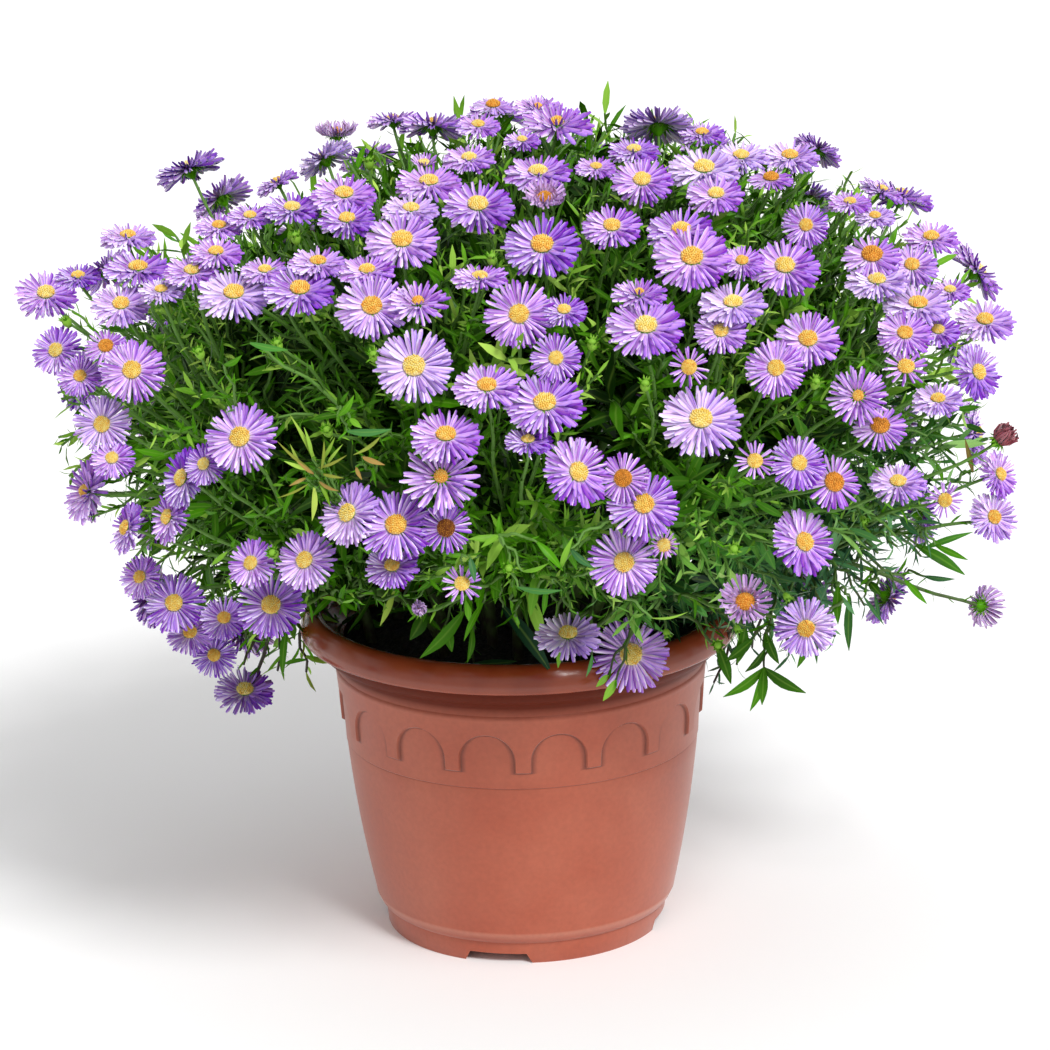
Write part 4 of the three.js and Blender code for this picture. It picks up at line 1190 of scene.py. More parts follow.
@dataclass
class Survey:
    """Finds the blooms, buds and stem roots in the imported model."""

    disc_share: float = 0.58
    disc_rise: float = 2.2
    disc_edge_rise: float = 0.6
    bud_radius: float = 3.4
    weld: float = 2e-5
    root_reach: float = 75.0
    even_within: float = 0.04
    rise_within: float = 0.25
    least_disc: float = 3.5
    bud_rise: float = 1.2
    bud_within: float = 0.3

    def corners(self, node: str) -> tuple[np.ndarray, list[set[int]]]:
        """Welds a node's loose triangles.

        Args:
            node: CAD node name.

        Returns:
            The welded points, and for each point the numbers of its neighbours.
        """
        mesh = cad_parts[node].data
        loose = np.array([v.co for v in mesh.vertices])
        keys, index = np.unique(np.round(loose / self.weld).astype(int), axis=0, return_inverse=True)
        index = index.ravel()
        points = np.zeros((len(keys), 3))
        points[index] = loose
        neighbours: list[set[int]] = [set() for _ in keys]
        for face in mesh.polygons:
            corners = [int(index[v]) for v in face.vertices]
            for a, b in zip(corners, corners[1:] + corners[:1]):
                if a != b:
                    neighbours[a].add(b)
                    neighbours[b].add(a)
        return points, neighbours

    def heads(self, node: str) -> tuple[list[Bloom], list[Bud]]:
        """Finds the star-shaped heads and the pointed buds of one cluster.

        Args:
            node: Name of a flowers node.

        Returns:
            Its blooms and its buds.
        """
        points, neighbours = self.corners(node)
        blooms, buds = [], []
        for number, ring in enumerate(neighbours):
            if len(ring) not in (4, 6, 8):
                continue
            circle = points[sorted(ring)]
            middle = circle.mean(axis=0)
            axis = Vector(points[number] - middle)
            spread = np.linalg.norm(circle - middle, axis=1) / MM
            reach, rise = float(spread.mean()), axis.length / MM
            if spread.std() >= self.even_within * reach:
                continue
            disc_rise = self.disc_rise - self.disc_edge_rise
            if len(ring) > 4 and abs(rise - disc_rise) < self.rise_within and reach > self.least_disc:
                normal = axis.normalized()
                centre = Vector(points[number]) - normal * self.disc_rise * MM
                blooms.append(Bloom(centre, normal, reach * MM / self.disc_share, owner=node))
            bud_rise = self.bud_rise * self.bud_radius
            off = max(abs(rise - bud_rise), abs(reach - self.bud_radius))
            if len(ring) == 4 and off < self.bud_within:
                buds.append(Bud(Vector(middle), axis.normalized(), node))
        return blooms, buds

    def root(self, node: str) -> Vector:
        """Returns the middle of a stem's lowest end."""
        points, _ = self.corners(node)
        over_pot = points[np.hypot(points[:, 0], points[:, 1]) < self.root_reach * MM]
        low = over_pot[over_pot[:, 2] < over_pot[:, 2].min() + 1 * MM]
        return Vector(low.mean(axis=0))


@dataclass
class Cushion:
    """The plant's outer surface: an oblate dome whose skirt hangs lower at the sides."""

    centre: tuple[float, float, float] = (4.0, 0.0, 262.0)
    radius: float = 218.0
    rise: float = 114.0
    power: float = 2.2
    skirt_front: float = 100.0
    skirt_side: float = 55.0
    skirt_back: float = 30.0

    def skirt(self, azimuth: float) -> float:
        """Returns how far the skirt hangs at an azimuth, in millimetres."""
        from_front = math.atan2(math.cos(azimuth), -math.sin(azimuth))
        side = math.sin(from_front) ** 2
        return self.skirt_front + self.skirt_side * side + self.skirt_back * (1 - math.cos(from_front)) / 2

    def point(self, azimuth: float, height: float, reach: float = 1.0) -> Vector:
        """Returns a point of the dome in metres.

        Args:
            azimuth: Angle about the pot's axis.
            height: Height over the widest ring, in millimetres.
            reach: 1 on the surface, less inside it.

        Returns:
            The point.
        """
        depth = self.rise if height > 0 else self.skirt(azimuth)
        share = min(1.0, abs(height) / depth)
        flat = self.radius * (1 - share**self.power) ** (1 / self.power)
        offset = Vector((flat * math.cos(azimuth), flat * math.sin(azimuth), height)) * reach
        return (Vector(self.centre) + offset) * MM


# Blooms


@dataclass(frozen=True)
class Whorl:
    """One ring of rays, in shares of the head's radius and in degrees."""

    count: int
    start: float
    length: float
    lift: float
    width: float
    curl: float = 0.0


@dataclass(frozen=True)
class HeadForm:
    """The build of one kind of head."""

    whorls: tuple[Whorl, ...]
    disc: float = 0.31
    dome: float = 0.11
    florets: int = 84


FORMS: dict[Look, HeadForm] = {
    Look.FRESH: HeadForm((
        Whorl(32, 0.22, 0.78, -5, 0.108, -0.05), Whorl(30, 0.22, 0.76, 5, 0.104, -0.04),
        Whorl(24, 0.23, 0.68, 16, 0.098), Whorl(15, 0.24, 0.50, 30, 0.088)), disc=0.275, florets=76),
    Look.FULL: HeadForm((
        Whorl(24, 0.18, 0.82, 2, 0.110, -0.05), Whorl(22, 0.20, 0.72, 14, 0.105),
        Whorl(18, 0.18, 0.56, 30, 0.095), Whorl(14, 0.14, 0.42, 50, 0.085, 0.10)), disc=0.18, florets=40),
    Look.RIPE: HeadForm((
        Whorl(23, 0.28, 0.72, -10, 0.110, -0.10), Whorl(20, 0.28, 0.68, 2, 0.105, -0.08),
        Whorl(12, 0.30, 0.5, 14, 0.09)), disc=0.34, dome=0.17),
    Look.SPARSE: HeadForm((
        Whorl(14, 0.26, 0.74, 8, 0.120, -0.06), Whorl(10, 0.28, 0.62, 20, 0.110)), disc=0.37, dome=0.16),
    Look.OPENING: HeadForm((
        Whorl(16, 0.20, 0.62, 38, 0.105, 0.10), Whorl(12, 0.22, 0.5, 55, 0.095, 0.12)),
        disc=0.34, dome=0.12, florets=60),
    Look.SPENT: HeadForm((
        Whorl(22, 0.24, 0.76, 12, 0.100, 0.35), Whorl(20, 0.24, 0.66, 30, 0.09, -0.05),
        Whorl(16, 0.24, 0.54, 48, 0.085, 0.3)), disc=0.30, dome=0.16),
    Look.DRIED: HeadForm((
        Whorl(20, 0.16, 0.80, 58, 0.12, 0.3), Whorl(16, 0.10, 0.78, 72, 0.11), Whorl(9, 0.05, 0.7, 82, 0.1)),
        disc=0.2, florets=24),
}
FORM_OF: dict[Look, Look] = {
    Look.PALE: Look.FRESH, Look.DEEP: Look.FRESH, Look.BROWN: Look.RIPE, Look.WITHERED: Look.DRIED}
LOOK_SHARES: dict[Look, float] = {
    Look.FRESH: 0.67, Look.PALE: 0.09, Look.DEEP: 0.16, Look.RIPE: 0.03, Look.FULL: 0.05}
# A tint under one half paints shade with a deeper violet, over one half the head is paler
TINT_OF: dict[Look, float] = {
    Look.PALE: 0.74, Look.DEEP: 0.3, Look.SPENT: 0.66, Look.FULL: 0.56, Look.BROWN: 0.34}
AGE_OF: dict[Look, float] = {
    Look.RIPE: 0.32, Look.BROWN: 0.62, Look.SPENT: 0.34, Look.FULL: 0.2, Look.OPENING: 0.0, Look.DRIED: 0.9,
    Look.WITHERED: 0.7}
WILT_OF: dict[Look, float] = {Look.SPENT: 0.6, Look.WITHERED: 0.78, Look.DRIED: 1.0}


# Fold of the edges in widths, faces across, and rows of distance, width and rise in lengths
BLADES: dict[str, tuple[float, int, Triples]] = {
    "ray_short": (-0.14, 2, ((0, 0.45, 0), (0.6, 1.0, 0.0), (1.0, 0.6, -0.01))),
    "ray_arched": (-0.14, 2, ((0, 0.45, 0), (0.35, 0.95, 0.02), (0.86, 1.0, -0.02), (1.0, 0.55, -0.06))),
    "ray_curled": (-0.2, 2, ((0, 0.5, 0), (0.4, 0.9, 0.06), (0.75, 0.9, 0.30), (0.8, 0.5, 0.5))),
    "bract": (0.1, 2, ((0, 0.8, 0), (0.5, 1.0, 0.06), (1.0, 0.1, 0.02))),
    "leaf_flat": (0.12, 2, ((0, 0.05, 0), (0.3, 0.15, 0.015), (0.65, 0.14, 0.01), (1.0, 0.01, -0.03))),
    "leaf_arched": (0.15, 2, ((0, 0.05, 0), (0.3, 0.15, 0.03), (0.65, 0.14, -0.02), (1.0, 0.01, -0.17))),
    "leaf_twisted": (-0.15, 2, ((0, 0.05, 0), (0.3, 0.13, 0.0), (0.65, 0.14, 0.05), (1.0, 0.01, 0.12))),
    "plain_flat": (0, 1, ((0, 0.06, 0), (0.4, 0.17, 0.02), (1.0, 0.01, -0.05))),
    "plain_arched": (0, 1, ((0, 0.06, 0), (0.4, 0.17, 0.03), (1.0, 0.01, -0.16))),
}


@dataclass
class SmallShapes:
    """The small shapes that repeat: rays, florets, bracts and leaves, all along +X from the origin."""

    bead_top: float = 1.3
    bead_bottom: float = -0.6

    def blade(self, name: str) -> Object:
        """Makes a blade with a channel or keel down its middle.

        Args:
            name: Its name among the blades.

        Returns:
            A carrier object.
        """
        fold, across, rows = BLADES[name]
        points, along, side = [], [], []
        for x, width, z in rows:
            for k in range(across + 1):
                share = 2 * k / across - 1
                points.append((x, share * width / 2, z + fold * width * abs(share)))
                along.append(x)
                side.append(share)
        stride = across + 1
        starts = [row * stride + k for row in range(len(rows) - 1) for k in range(across)]
        faces = [(a, a + stride, a + stride + 1, a + 1) for a in starts]
        mesh = mesh_from(name, np.array(points), faces)
        write(mesh, along=along, across=side)
        return mesh_object(name, mesh)

    def bead(self) -> Object:
        """Makes a six-faced bead of radius 1 and returns its carrier object."""
        corners = [(math.cos(a), math.sin(a), 0.0) for a in (0.0, 2 * math.pi / 3, 4 * math.pi / 3)]
        points = np.array([*corners, (0.0, 0.0, self.bead_top), (0.0, 0.0, self.bead_bottom)])
        faces = [(0, 1, 3), (1, 2, 3), (2, 0, 3), (1, 0, 4), (2, 1, 4), (0, 2, 4)]
        return mesh_object("bead", closed_mesh("bead", points, faces))

    def build(self) -> dict[str, Object]:
        """Makes all small shapes and returns them by name."""
        return {**{name: self.blade(name) for name in BLADES}, "bead": self.bead()}


@dataclass
class HeadMaker:
    """Builds each kind of head once, in shares of its radius: rays, florets and the green cup."""

    ray_silk: Material
    floret_wax: Material
    leaf_wax: Material
    whorl_phase: float = 0.43
    disc_rise: float = 0.05
    floret_rise: float = 0.02
    floret_fill: float = 1.12
    floret_tall: float = 1.5
    cushion_sides: int = 12
    cushion_rings: Pairs = ((1.0, -0.06), (1.04, 0.0), (0.72, 0.48), (0.36, 0.87))
    cone_sides: int = 10
    cone_rings: Pairs = ((0.27, 0.03), (0.24, -0.10), (0.12, -0.26), (0.05, -0.34))
    cushion_luck: float = 0.55
    cushion_ring: float = 0.5
    cone_luck: float = 0.4
    bract_start: float = 0.10
    bract_width: float = 0.09
    bract_rings: Triples = ((13, 0.42, -24), (11, 0.34, -48))
    whorl_seed: int = 20
    bract_seed: int = 90
    # Lowest, highest and seed of a ray's swing, dip, roll, stretch and luck, and of a floret's luck
    ray_chances: Triples = (
        (-0.07, 0.07, 0), (-0.19, 0.15, 7), (-0.35, 0.35, 11), (0.90, 1.08, 3), (0, 1, 5))
    floret_chances: Triples = ((0, 1, 0),)
    floret_spread: tuple[float, float] = (0.4, 0.85)

    def ray_recipe(self) -> Recipe:
        """Builds the tree that lays one ring of rays and returns it."""
        recipe = Recipe("ring of rays")
        add = recipe.add
        ray, count, start, length, width, lift, seed, phase = recipe.ask(
            Ray="Object", Count="Int", Start="Float", Length="Float", Width="Float", Lift="Float", Seed="Int",
            Phase="Float")
        swing, dip, roll, stretch, luck = recipe.chances(seed, self.ray_chances)
        circle = add("GeometryNodeMeshCircle", {"Vertices": count, "Radius": start})
        place = add("GeometryNodeInputPosition")
        spun = add("ShaderNodeVectorRotate", {"Vector": place, "Angle": phase}, rotation_type="Z_AXIS")
        turned = add("GeometryNodeSetPosition", {"Geometry": circle, "Position": spun})
        # Each ray points away from the middle, a little askew, raised and rolled
        index = add("GeometryNodeInputIndex")
        circuits = add("ShaderNodeMath", (index, 2 * math.pi), operation="MULTIPLY")
        step = add("ShaderNodeMath", (circuits, count), operation="DIVIDE")
        outward = add("ShaderNodeMath", (step, phase), operation="ADD")
        turn = add("ShaderNodeMath", (outward, swing), operation="ADD")
        raised = add("ShaderNodeMath", (lift, dip), operation="ADD")
        pitch = add("ShaderNodeMath", (raised, -1.0), operation="MULTIPLY")
        angles = add("ShaderNodeCombineXYZ", (roll, pitch, turn))
        reach = add("ShaderNodeMath", (length, stretch), operation="MULTIPLY")
        recipe.close(add("GeometryNodeInstanceOnPoints", {
            "Points": turned,
            "Instance": add("GeometryNodeObjectInfo", {"Object": ray, "As Instance": True}, "Geometry"),
            "Rotation": add("FunctionNodeEulerToRotation", (angles,)),
            "Scale": add("ShaderNodeCombineXYZ", (reach, width, length)),
        }), luck=luck)
        return recipe

    def floret_recipe(self) -> Recipe:
        """Builds the tree that packs florets on the disc in a sunflower spiral and returns it."""
        recipe = Recipe("packed florets")
        add = recipe.add
        bead, count, disc, dome, seed = recipe.ask(
            Bead="Object", Count="Int", Disc="Float", Dome="Float", Seed="Int")
        (luck,) = recipe.chances(seed, self.floret_chances)
        line = add("GeometryNodeMeshLine", {"Count": count, "Offset": (0.0, 0.0, 0.0)})
        index = add("GeometryNodeInputIndex")
        middle = add("ShaderNodeMath", (index, 0.5), operation="ADD")
        share = add("ShaderNodeMath", (middle, count), operation="DIVIDE")
        spread = add("ShaderNodeMath", (share,), operation="SQRT")
        radius = add("ShaderNodeMath", (spread, disc), operation="MULTIPLY")
        angle = add("ShaderNodeMath", (index, GOLDEN_ANGLE), operation="MULTIPLY")
        flat = []
        for way in ("COSINE", "SINE"):
            turned = add("ShaderNodeMath", (angle,), operation=way)
            flat.append(add("ShaderNodeMath", (radius, turned), operation="MULTIPLY"))
        inward = add("ShaderNodeMath", (1.0, share), operation="SUBTRACT")
        height = add(
            "ShaderNodeMath", (inward, dome, self.disc_rise + self.floret_rise), operation="MULTIPLY_ADD")
        place = add("ShaderNodeCombineXYZ", (*flat, height))
        # Whatever their number, florets fill the disc, and they differ in size
        filled = add("ShaderNodeMath", (disc, self.floret_fill), operation="MULTIPLY")
        crowd = add("ShaderNodeMath", (count,), operation="SQRT")
        even = add("ShaderNodeMath", (filled, crowd), operation="DIVIDE")
        uneven = add("ShaderNodeMath", (luck, *self.floret_spread), operation="MULTIPLY_ADD")
        size = add("ShaderNodeMath", (even, uneven), operation="MULTIPLY")
        tall = add("ShaderNodeMath", (size, self.floret_tall), operation="MULTIPLY")
        recipe.close(add("GeometryNodeInstanceOnPoints", {
            "Points": add("GeometryNodeSetPosition", {"Geometry": line, "Position": place}),
            "Instance": add("GeometryNodeObjectInfo", {"Object": bead, "As Instance": True}, "Geometry"),
            "Scale": add("ShaderNodeCombineXYZ", (size, size, tall)),
        }), luck=luck, ring=share)
        return recipe

    def make(
        self, look: Look, form: HeadForm, recipes: tuple[Recipe, Recipe], shapes: dict[str, Object], seed: int
    ) -> tuple[Object, Object, Object]:
        """Builds the three unit meshes of one kind of head.

        Args:
            look: Which kind.
            form: Its build.
            recipes: The ray tree and the floret tree.
            shapes: Carrier objects by name.
            seed: Seed of this kind.

        Returns:
            Carrier objects of the rays, the florets and the cup.
        """
        rays, florets = recipes
        spot = mesh_from("carrier", np.zeros((1, 3)), [])
        whorls = []
        for number, whorl in enumerate(form.whorls):
            name = "ray_curled" if whorl.curl > 0.2 else "ray_arched" if whorl.curl < 0 else "ray_short"
            whorls.append(rays.bake(
                f"{look.value}_whorl_{number}", spot, self.ray_silk, Ray=shapes[name], Count=whorl.count,
                Start=whorl.start, Length=whorl.length, Width=whorl.width, Lift=math.radians(whorl.lift),
                Seed=seed + self.whorl_seed * number, Phase=self.whorl_phase * number))
        packed = florets.bake(
            f"{look.value}_florets", spot, self.floret_wax, Bead=shapes["bead"], Count=form.florets,
            Disc=form.disc, Dome=form.dome, Seed=seed)
        rings = [(form.disc * r, self.disc_rise + form.dome * z) for r, z in self.cushion_rings]
        cushion = turned_mesh(
            "floret_cushion", rings, self.cushion_sides, self.disc_rise + form.dome, self.floret_wax,
            luck=self.cushion_luck, ring=self.cushion_ring)
        bracts = [
            rays.bake(f"{look.value}_bracts_{k}", spot, self.leaf_wax, Ray=shapes["bract"], Count=count,
                      Start=self.bract_start, Length=length, Width=self.bract_width, Lift=math.radians(lift),
                      Seed=seed + self.bract_seed + k, Phase=self.whorl_phase * k)
            for k, (count, length, lift) in enumerate(self.bract_rings)]
        cone = turned_mesh(
            "cup_cone", self.cone_rings, self.cone_sides, self.cone_rings[-1][1], self.leaf_wax,
            across=1.0, luck=self.cone_luck)
        layers = (("rays", whorls), ("disc", [packed, cushion]), ("cup", [*bracts, cone]))
        names = [(f"{look.value}_{part}", meshes) for part, meshes in layers]
        return tuple(mesh_object(name, joined(name, meshes)) for name, meshes in names)


@dataclass
class BloomField:
    """Sets a head on each bloom of the frame."""

    survey: Survey
    view: Viewpoint
    fullness: float = 1.055
    form_seeds: tuple[int, int] = (100, 40)
    tint: float = 0.5
    tint_spread: float = 0.08
    age: float = 0.05
    age_spread: tuple[float, float] = (-0.06, 0.12)
    most_wilt: float = 0.05
    cup_light: float = 0.55
    seed: int = 11

    def nearest(self, found: list, place: tuple[float, float]) -> tuple[Bloom | Bud, float]:
        """Finds the bloom or bud that is seen nearest to a picture place.

        Args:
            found: Blooms or buds.
            place: Picture x and y in pixels.

        Returns:
            The nearest one and its distance in pixels.
        """
        away = [(self.view.pixel(one.centre) - Vector(place)).length for one in found]
        least = min(range(len(found)), key=away.__getitem__)
        return found[least], away[least]

    def gather(self) -> tuple[list[Bloom], list[Bud]]:
        """Reads all blooms and buds and gives each bloom its look.

        Returns:
            The blooms and the buds.
        """
        random = np.random.default_rng(self.seed)
        blooms: list[Bloom] = []
        buds: list[Bud] = []
        for node in sorted(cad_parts):
            if node.startswith("flowers"):
                found, shut = self.survey.heads(node)
                blooms += found
                buds += shut
        for bloom in blooms:
            bloom.look = random.choice(list(LOOK_SHARES), p=list(LOOK_SHARES.values()))
        for look, places in NOTED_BLOOMS.items():
            for place in places:
                near, away = self.nearest(blooms, place)
                if away < NOTED_WITHIN_PIXELS:
                    near.look = look
        for x, y, facing in TURNED_HEADS:
            self.nearest(blooms, (x, y))[0].normal = Vector(facing).normalized()
        bud, away = self.nearest(buds, DRIED_HEAD_AT)
        if away < NOTED_WITHIN_PIXELS:
            buds.remove(bud)
            blooms.append(Bloom(bud.centre, bud.normal, DRIED_HEAD_RADIUS * MM, Look.DRIED, bud.owner))
        log.info("%d blooms, %d buds", len(blooms), len(buds))
        return blooms, buds

    def field_recipe(self) -> Recipe:
        """Builds the tree that sets a head on each point and returns it."""
        recipe = Recipe("heads on stalks")
        add = recipe.add
        (head,) = recipe.ask(Head="Object")
        facing, size = (
            add("GeometryNodeInputNamedAttribute", {"Name": name}, "Attribute", data_type=kind)
            for name, kind in (("facing", "FLOAT_VECTOR"), ("size", "FLOAT")))
        recipe.close(add("GeometryNodeInstanceOnPoints", {
            "Points": add("GeometryNodeMeshToPoints", {"Mesh": recipe.entry.outputs[0]}),
            "Instance": add("GeometryNodeObjectInfo", {"Object": head, "As Instance": True}, "Geometry"),
            "Rotation": add("FunctionNodeEulerToRotation", (facing,)),
            "Scale": size,
        }))
        return recipe

    def build(self, blooms: list[Bloom], maker: HeadMaker, shapes: dict[str, Object]) -> None:
        """Builds all heads: the rays, the florets and the cups as three pieces.

        Args:
            blooms: Blooms with their looks.
            maker: Maker of the unit heads.
            shapes: Small shapes by name.
        """
        random = np.random.default_rng(self.seed + 1)
        recipes = (maker.ray_recipe(), maker.floret_recipe())
        field = self.field_recipe()
        finishes = (maker.ray_silk, maker.floret_wax, maker.leaf_wax)
        layers: list[list[Mesh]] = [[], [], []]
        for number, (look, form) in enumerate(FORMS.items()):
            first, step = self.form_seeds
            unit = maker.make(look, form, recipes, shapes, first + step * number)
            chosen = [b for b in blooms if FORM_OF.get(b.look, b.look) == look]
            if chosen:
                points = self.carrier(chosen, random)
                for layer, part, finish in zip(layers, unit, finishes):
                    layer.append(field.bake(f"{look.value}_{part.name}", points, finish, Head=part))
            for part in unit:
                bpy.data.objects.remove(part)
        nodes = sorted({b.owner for b in blooms})
        for name, layer in zip(("bloom_rays", "bloom_discs", "bloom_cups"), layers):
            slot = "bloom" if name != "bloom_cups" else "foliage"
            settle(mesh_object(name, joined(name, layer)), slot, *(nodes if name == "bloom_rays" else ()))

    def carrier(self, blooms: list[Bloom], random: np.random.Generator) -> Mesh:
        """Makes the points that carry the heads, with facing, size, tint and age.

        Args:
            blooms: Blooms of one kind of head.
            random: Source of chance.

        Returns:
            A mesh of loose points.
        """
        mesh = mesh_from("bloom_points", np.array([tuple(b.centre) for b in blooms]), [])
        turns, tints, ages, wilts = [], [], [], []
        for bloom in blooms:
            spin = Quaternion((0, 0, 1), random.uniform(0, 2 * math.pi))
            turns.append(tuple((bloom.normal.to_track_quat("Z", "Y") @ spin).to_euler("XYZ")))
            tint = TINT_OF.get(bloom.look, self.tint) + random.normal(0, self.tint_spread)
            tints.append(min(1, max(0, tint)))
            ages.append(AGE_OF.get(bloom.look, self.age) + random.uniform(*self.age_spread))
            wilts.append(WILT_OF.get(bloom.look, random.uniform(0, self.most_wilt)))
        sizes = [b.radius * self.fullness for b in blooms]
        write(mesh, facing=turns, size=sizes, tint=tints, age=ages, wilt=wilts, light=self.cup_light)
        return mesh


# Stems and leaves


@dataclass
class Twig:
    """One bending twig: its points in metres, its thickness and its leaves."""

    points: list[Vector]
    thick: float
    bare: float
    leaf: float
    light: float
    broad: float = 1.0
    cool: float = 0.0
    dry: float = 0.0


@dataclass(frozen=True)
class TwigForm:
    """One kind of twig: thickness, leaf length and wobble in millimetres, bare share and light."""

    thick: float
    bare: float
    leaf: float
    light: float
    wobble: float


# The leaves and the light of a side shoot are drawn one by one
SIDE_SHOOT = TwigForm(0.75, 0.08, 0.0, 0.0, 2.5)
MAIN_STEM = TwigForm(1.9, 0.35, 26, 0.1, 0.0)
BLOOM_STALK = TwigForm(0.8, 0.3, 11, 0.5, 1.2)
BUD_STALK = TwigForm(0.7, 0.3, 9, 0.6, 2.0)
NOTED_TWIG = TwigForm(0.55, 0.1, 10, 0.3, 1.0)


class Shoot(Enum):
    """Kinds of side shoots."""

    FEATHERY = "feathery"
    LEAFY = "leafy"
    INNER = "inner"


@dataclass(frozen=True)
class ShootForm:
    """One kind of shoot: number, limits of reach and start in shares, of leaf length in millimetres."""

    count: int
    reach: tuple[float, float]
    start: tuple[float, float]
    leaf: tuple[float, float]
    broad: tuple[float, float]
    light: tuple[float, float]
    phase: float
    every: float


SHOOT_FORMS: dict[Shoot, ShootForm] = {
    Shoot.FEATHERY: ShootForm(470, (0.84, 0.985), (0.2, 0.5), (7, 13), (1.0, 1.35), (0.08, 0.95), 0.0, 2.2),
    Shoot.LEAFY: ShootForm(470, (0.82, 0.96), (0.2, 0.5), (12, 21), (1.05, 1.6), (0.06, 0.82), 2.0, 3.3),
    Shoot.INNER: ShootForm(620, (0.52, 0.82), (0.0, 0.3), (22, 34), (1.25, 1.4), (0.0, 0.1), 1.0, 3.4),
}


@dataclass
class Growth:
    """All twigs of the plant."""

    stems: list[Twig]
    stalks: list[Twig]
    shoots: dict[Shoot, list[Twig]]

    def nearest(self, place: Vector) -> Vector:
        """Returns the point of a leafy or feathery shoot that is nearest to a place."""
        outer = self.shoots[Shoot.FEATHERY] + self.shoots[Shoot.LEAFY]
        points = [p for twig in outer for p in twig.points[2:]]
        return min(points, key=lambda p: (p - place).length)


@dataclass
class Branching:
    """Grows the twigs: main stems, bloom stalks and leafy side shoots."""

    cushion: Cushion
    survey: Survey
    fork_at: float = 0.52
    lowest_fork: float = 188.0
    widest_fork: float = 125.0
    fork_rise: float = 8.0
    stem_lead: float = 0.8
    head_clear: float = 0.3
    stalk_pull: float = 0.5
    lead_share: float = 0.6
    shoot_lead: float = 0.55
    crown_stoop: float = 0.035
    mouth_left: float = -107.0
    mouth_right: float = 22.0
    mouth_top: float = 184.0
    shoulder_at: float = -112.0
    shoulder_width: float = 58.0
    shoulder_sink: float = 22.0
    mouth_ragged: float = 14.0
    skirt_share: float = 0.95
    stalk_lead: float = 22.0
    noted_lift: float = 3.0
    sway_turns: float = 3.2
    shoot_lift: tuple[float, float] = (2.0, 20.0)
    shoot_light: tuple[float, float] = (0.7, 1.1)
    cool_at: float = 200.0
    cool_under: float = 90.0
    most_cool: float = 0.8
    steps: int = 9
    seed: int = 23

    def fork(self, root: Vector, middle: Vector) -> Vector:
        """Returns the fork of a stem whose blooms lie round a middle point."""
        spot = root.lerp(middle, self.fork_at)
        flat = math.hypot(spot.x, spot.y)
        inward = min(1.0, self.widest_fork * MM / flat) if flat else 1.0
        height = max(spot.z + self.fork_rise * MM, self.lowest_fork * MM)
        return Vector((spot.x * inward, spot.y * inward, height))

    def twig(
        self, form: TwigForm, start: Vector, lead: Vector, end: Vector, random: np.random.Generator
    ) -> Twig:
        """Grows one twig: a curve that leaves along a lead point, with a slight wobble.

        Args:
            form: Kind of twig.
            start: First point.
            lead: Control point.
            end: Last point.
            random: Source of chance.

        Returns:
            The twig.
        """
        points = []
        phase = random.uniform(0, 2 * math.pi, 3)
        for k in range(self.steps + 1):
            t = k / self.steps
            base = start.lerp(lead, t).lerp(lead.lerp(end, t), t)
            sway = Vector(math.sin(self.sway_turns * t * math.pi + p) for p in phase)
            points.append(base + sway * form.wobble * MM * math.sin(math.pi * t))
        return Twig(points, form.thick * MM, form.bare, form.leaf * MM, form.light)

    def grow(self, blooms: list[Bloom], buds: list[Bud]) -> Growth:
        """Grows all twigs.

        Args:
            blooms: All blooms.
            buds: All buds.

        Returns:
            The main stems, the flower stalks and the side shoots.
        """
        random = np.random.default_rng(self.seed)
        stems: list[Twig] = []
        stalks: list[Twig] = []
        forks: list[Vector] = []
        for node in sorted({b.owner for b in blooms}):
            own = [b for b in blooms if b.owner == node]
            middle = sum((b.centre for b in own), Vector()) / len(own)
            root = self.survey.root(node.replace("flowers", "stem"))
            fork = self.fork(root, middle)
            forks.append(fork)
            rise = Vector((root.x, root.y, root.z + (fork.z - root.z) * self.stem_lead))
            stems.append(self.twig(MAIN_STEM, root, rise, fork, random))
            for bloom in own:
                base = bloom.centre - bloom.normal * bloom.radius * self.head_clear
                lead = base - bloom.normal * self.stalk_lead * MM
                lead = lead.lerp(fork.lerp(base, self.lead_share), self.stalk_pull)
                stalks.append(self.twig(BLOOM_STALK, fork, lead, base, random))
        for bud in buds:
            fork = min(forks, key=lambda f: (f - bud.centre).length)
            lead = fork.lerp(bud.centre, self.lead_share)
            stalks.append(self.twig(BUD_STALK, fork, lead, bud.centre, random))
        shoots = {
            kind: [self.side_shoot(k, kind, forks, random) for k in range(form.count)]
            for kind, form in SHOOT_FORMS.items()}
        return Growth(stems, stalks, shoots)

    def reach_out(self, growth: Growth, places: Sequence[Vector]) -> None:
        """Grows a thin twig from the nearest shoot to each place.

        Args:
            growth: All twigs, which get the new ones.
            places: Points to reach.
        """
        random = np.random.default_rng(self.seed + 1)
        for place in places:
            start = growth.nearest(place)
            lead = start.lerp(place, self.lead_share) + Vector((0, 0, self.noted_lift * MM))
            growth.stalks.append(self.twig(NOTED_TWIG, start, lead, place, random))

    def crown_share(self, number: int, count: int, azimuth: float) -> float:
        """Returns the height over the widest ring for one of many evenly spread places, in millimetres."""
        half = count // 2
        if number < half:
            flat = math.sqrt((number + 0.5) / half)
            return self.cushion.rise * (1 - flat**self.cushion.power) ** (1 / self.cushion.power)
        return -self.cushion.skirt(azimuth) * self.skirt_share * (number - half + 0.5) / (count - half)

    def sink(self, tip: Vector, crown: float) -> float:
        """Returns how far the left shoulder of the crown sinks at a tip, in metres."""
        away = (tip.x / MM - self.shoulder_at) / self.shoulder_width
        return self.shoulder_sink * MM * math.exp(-away * away) * min(1.0, 2 * crown)

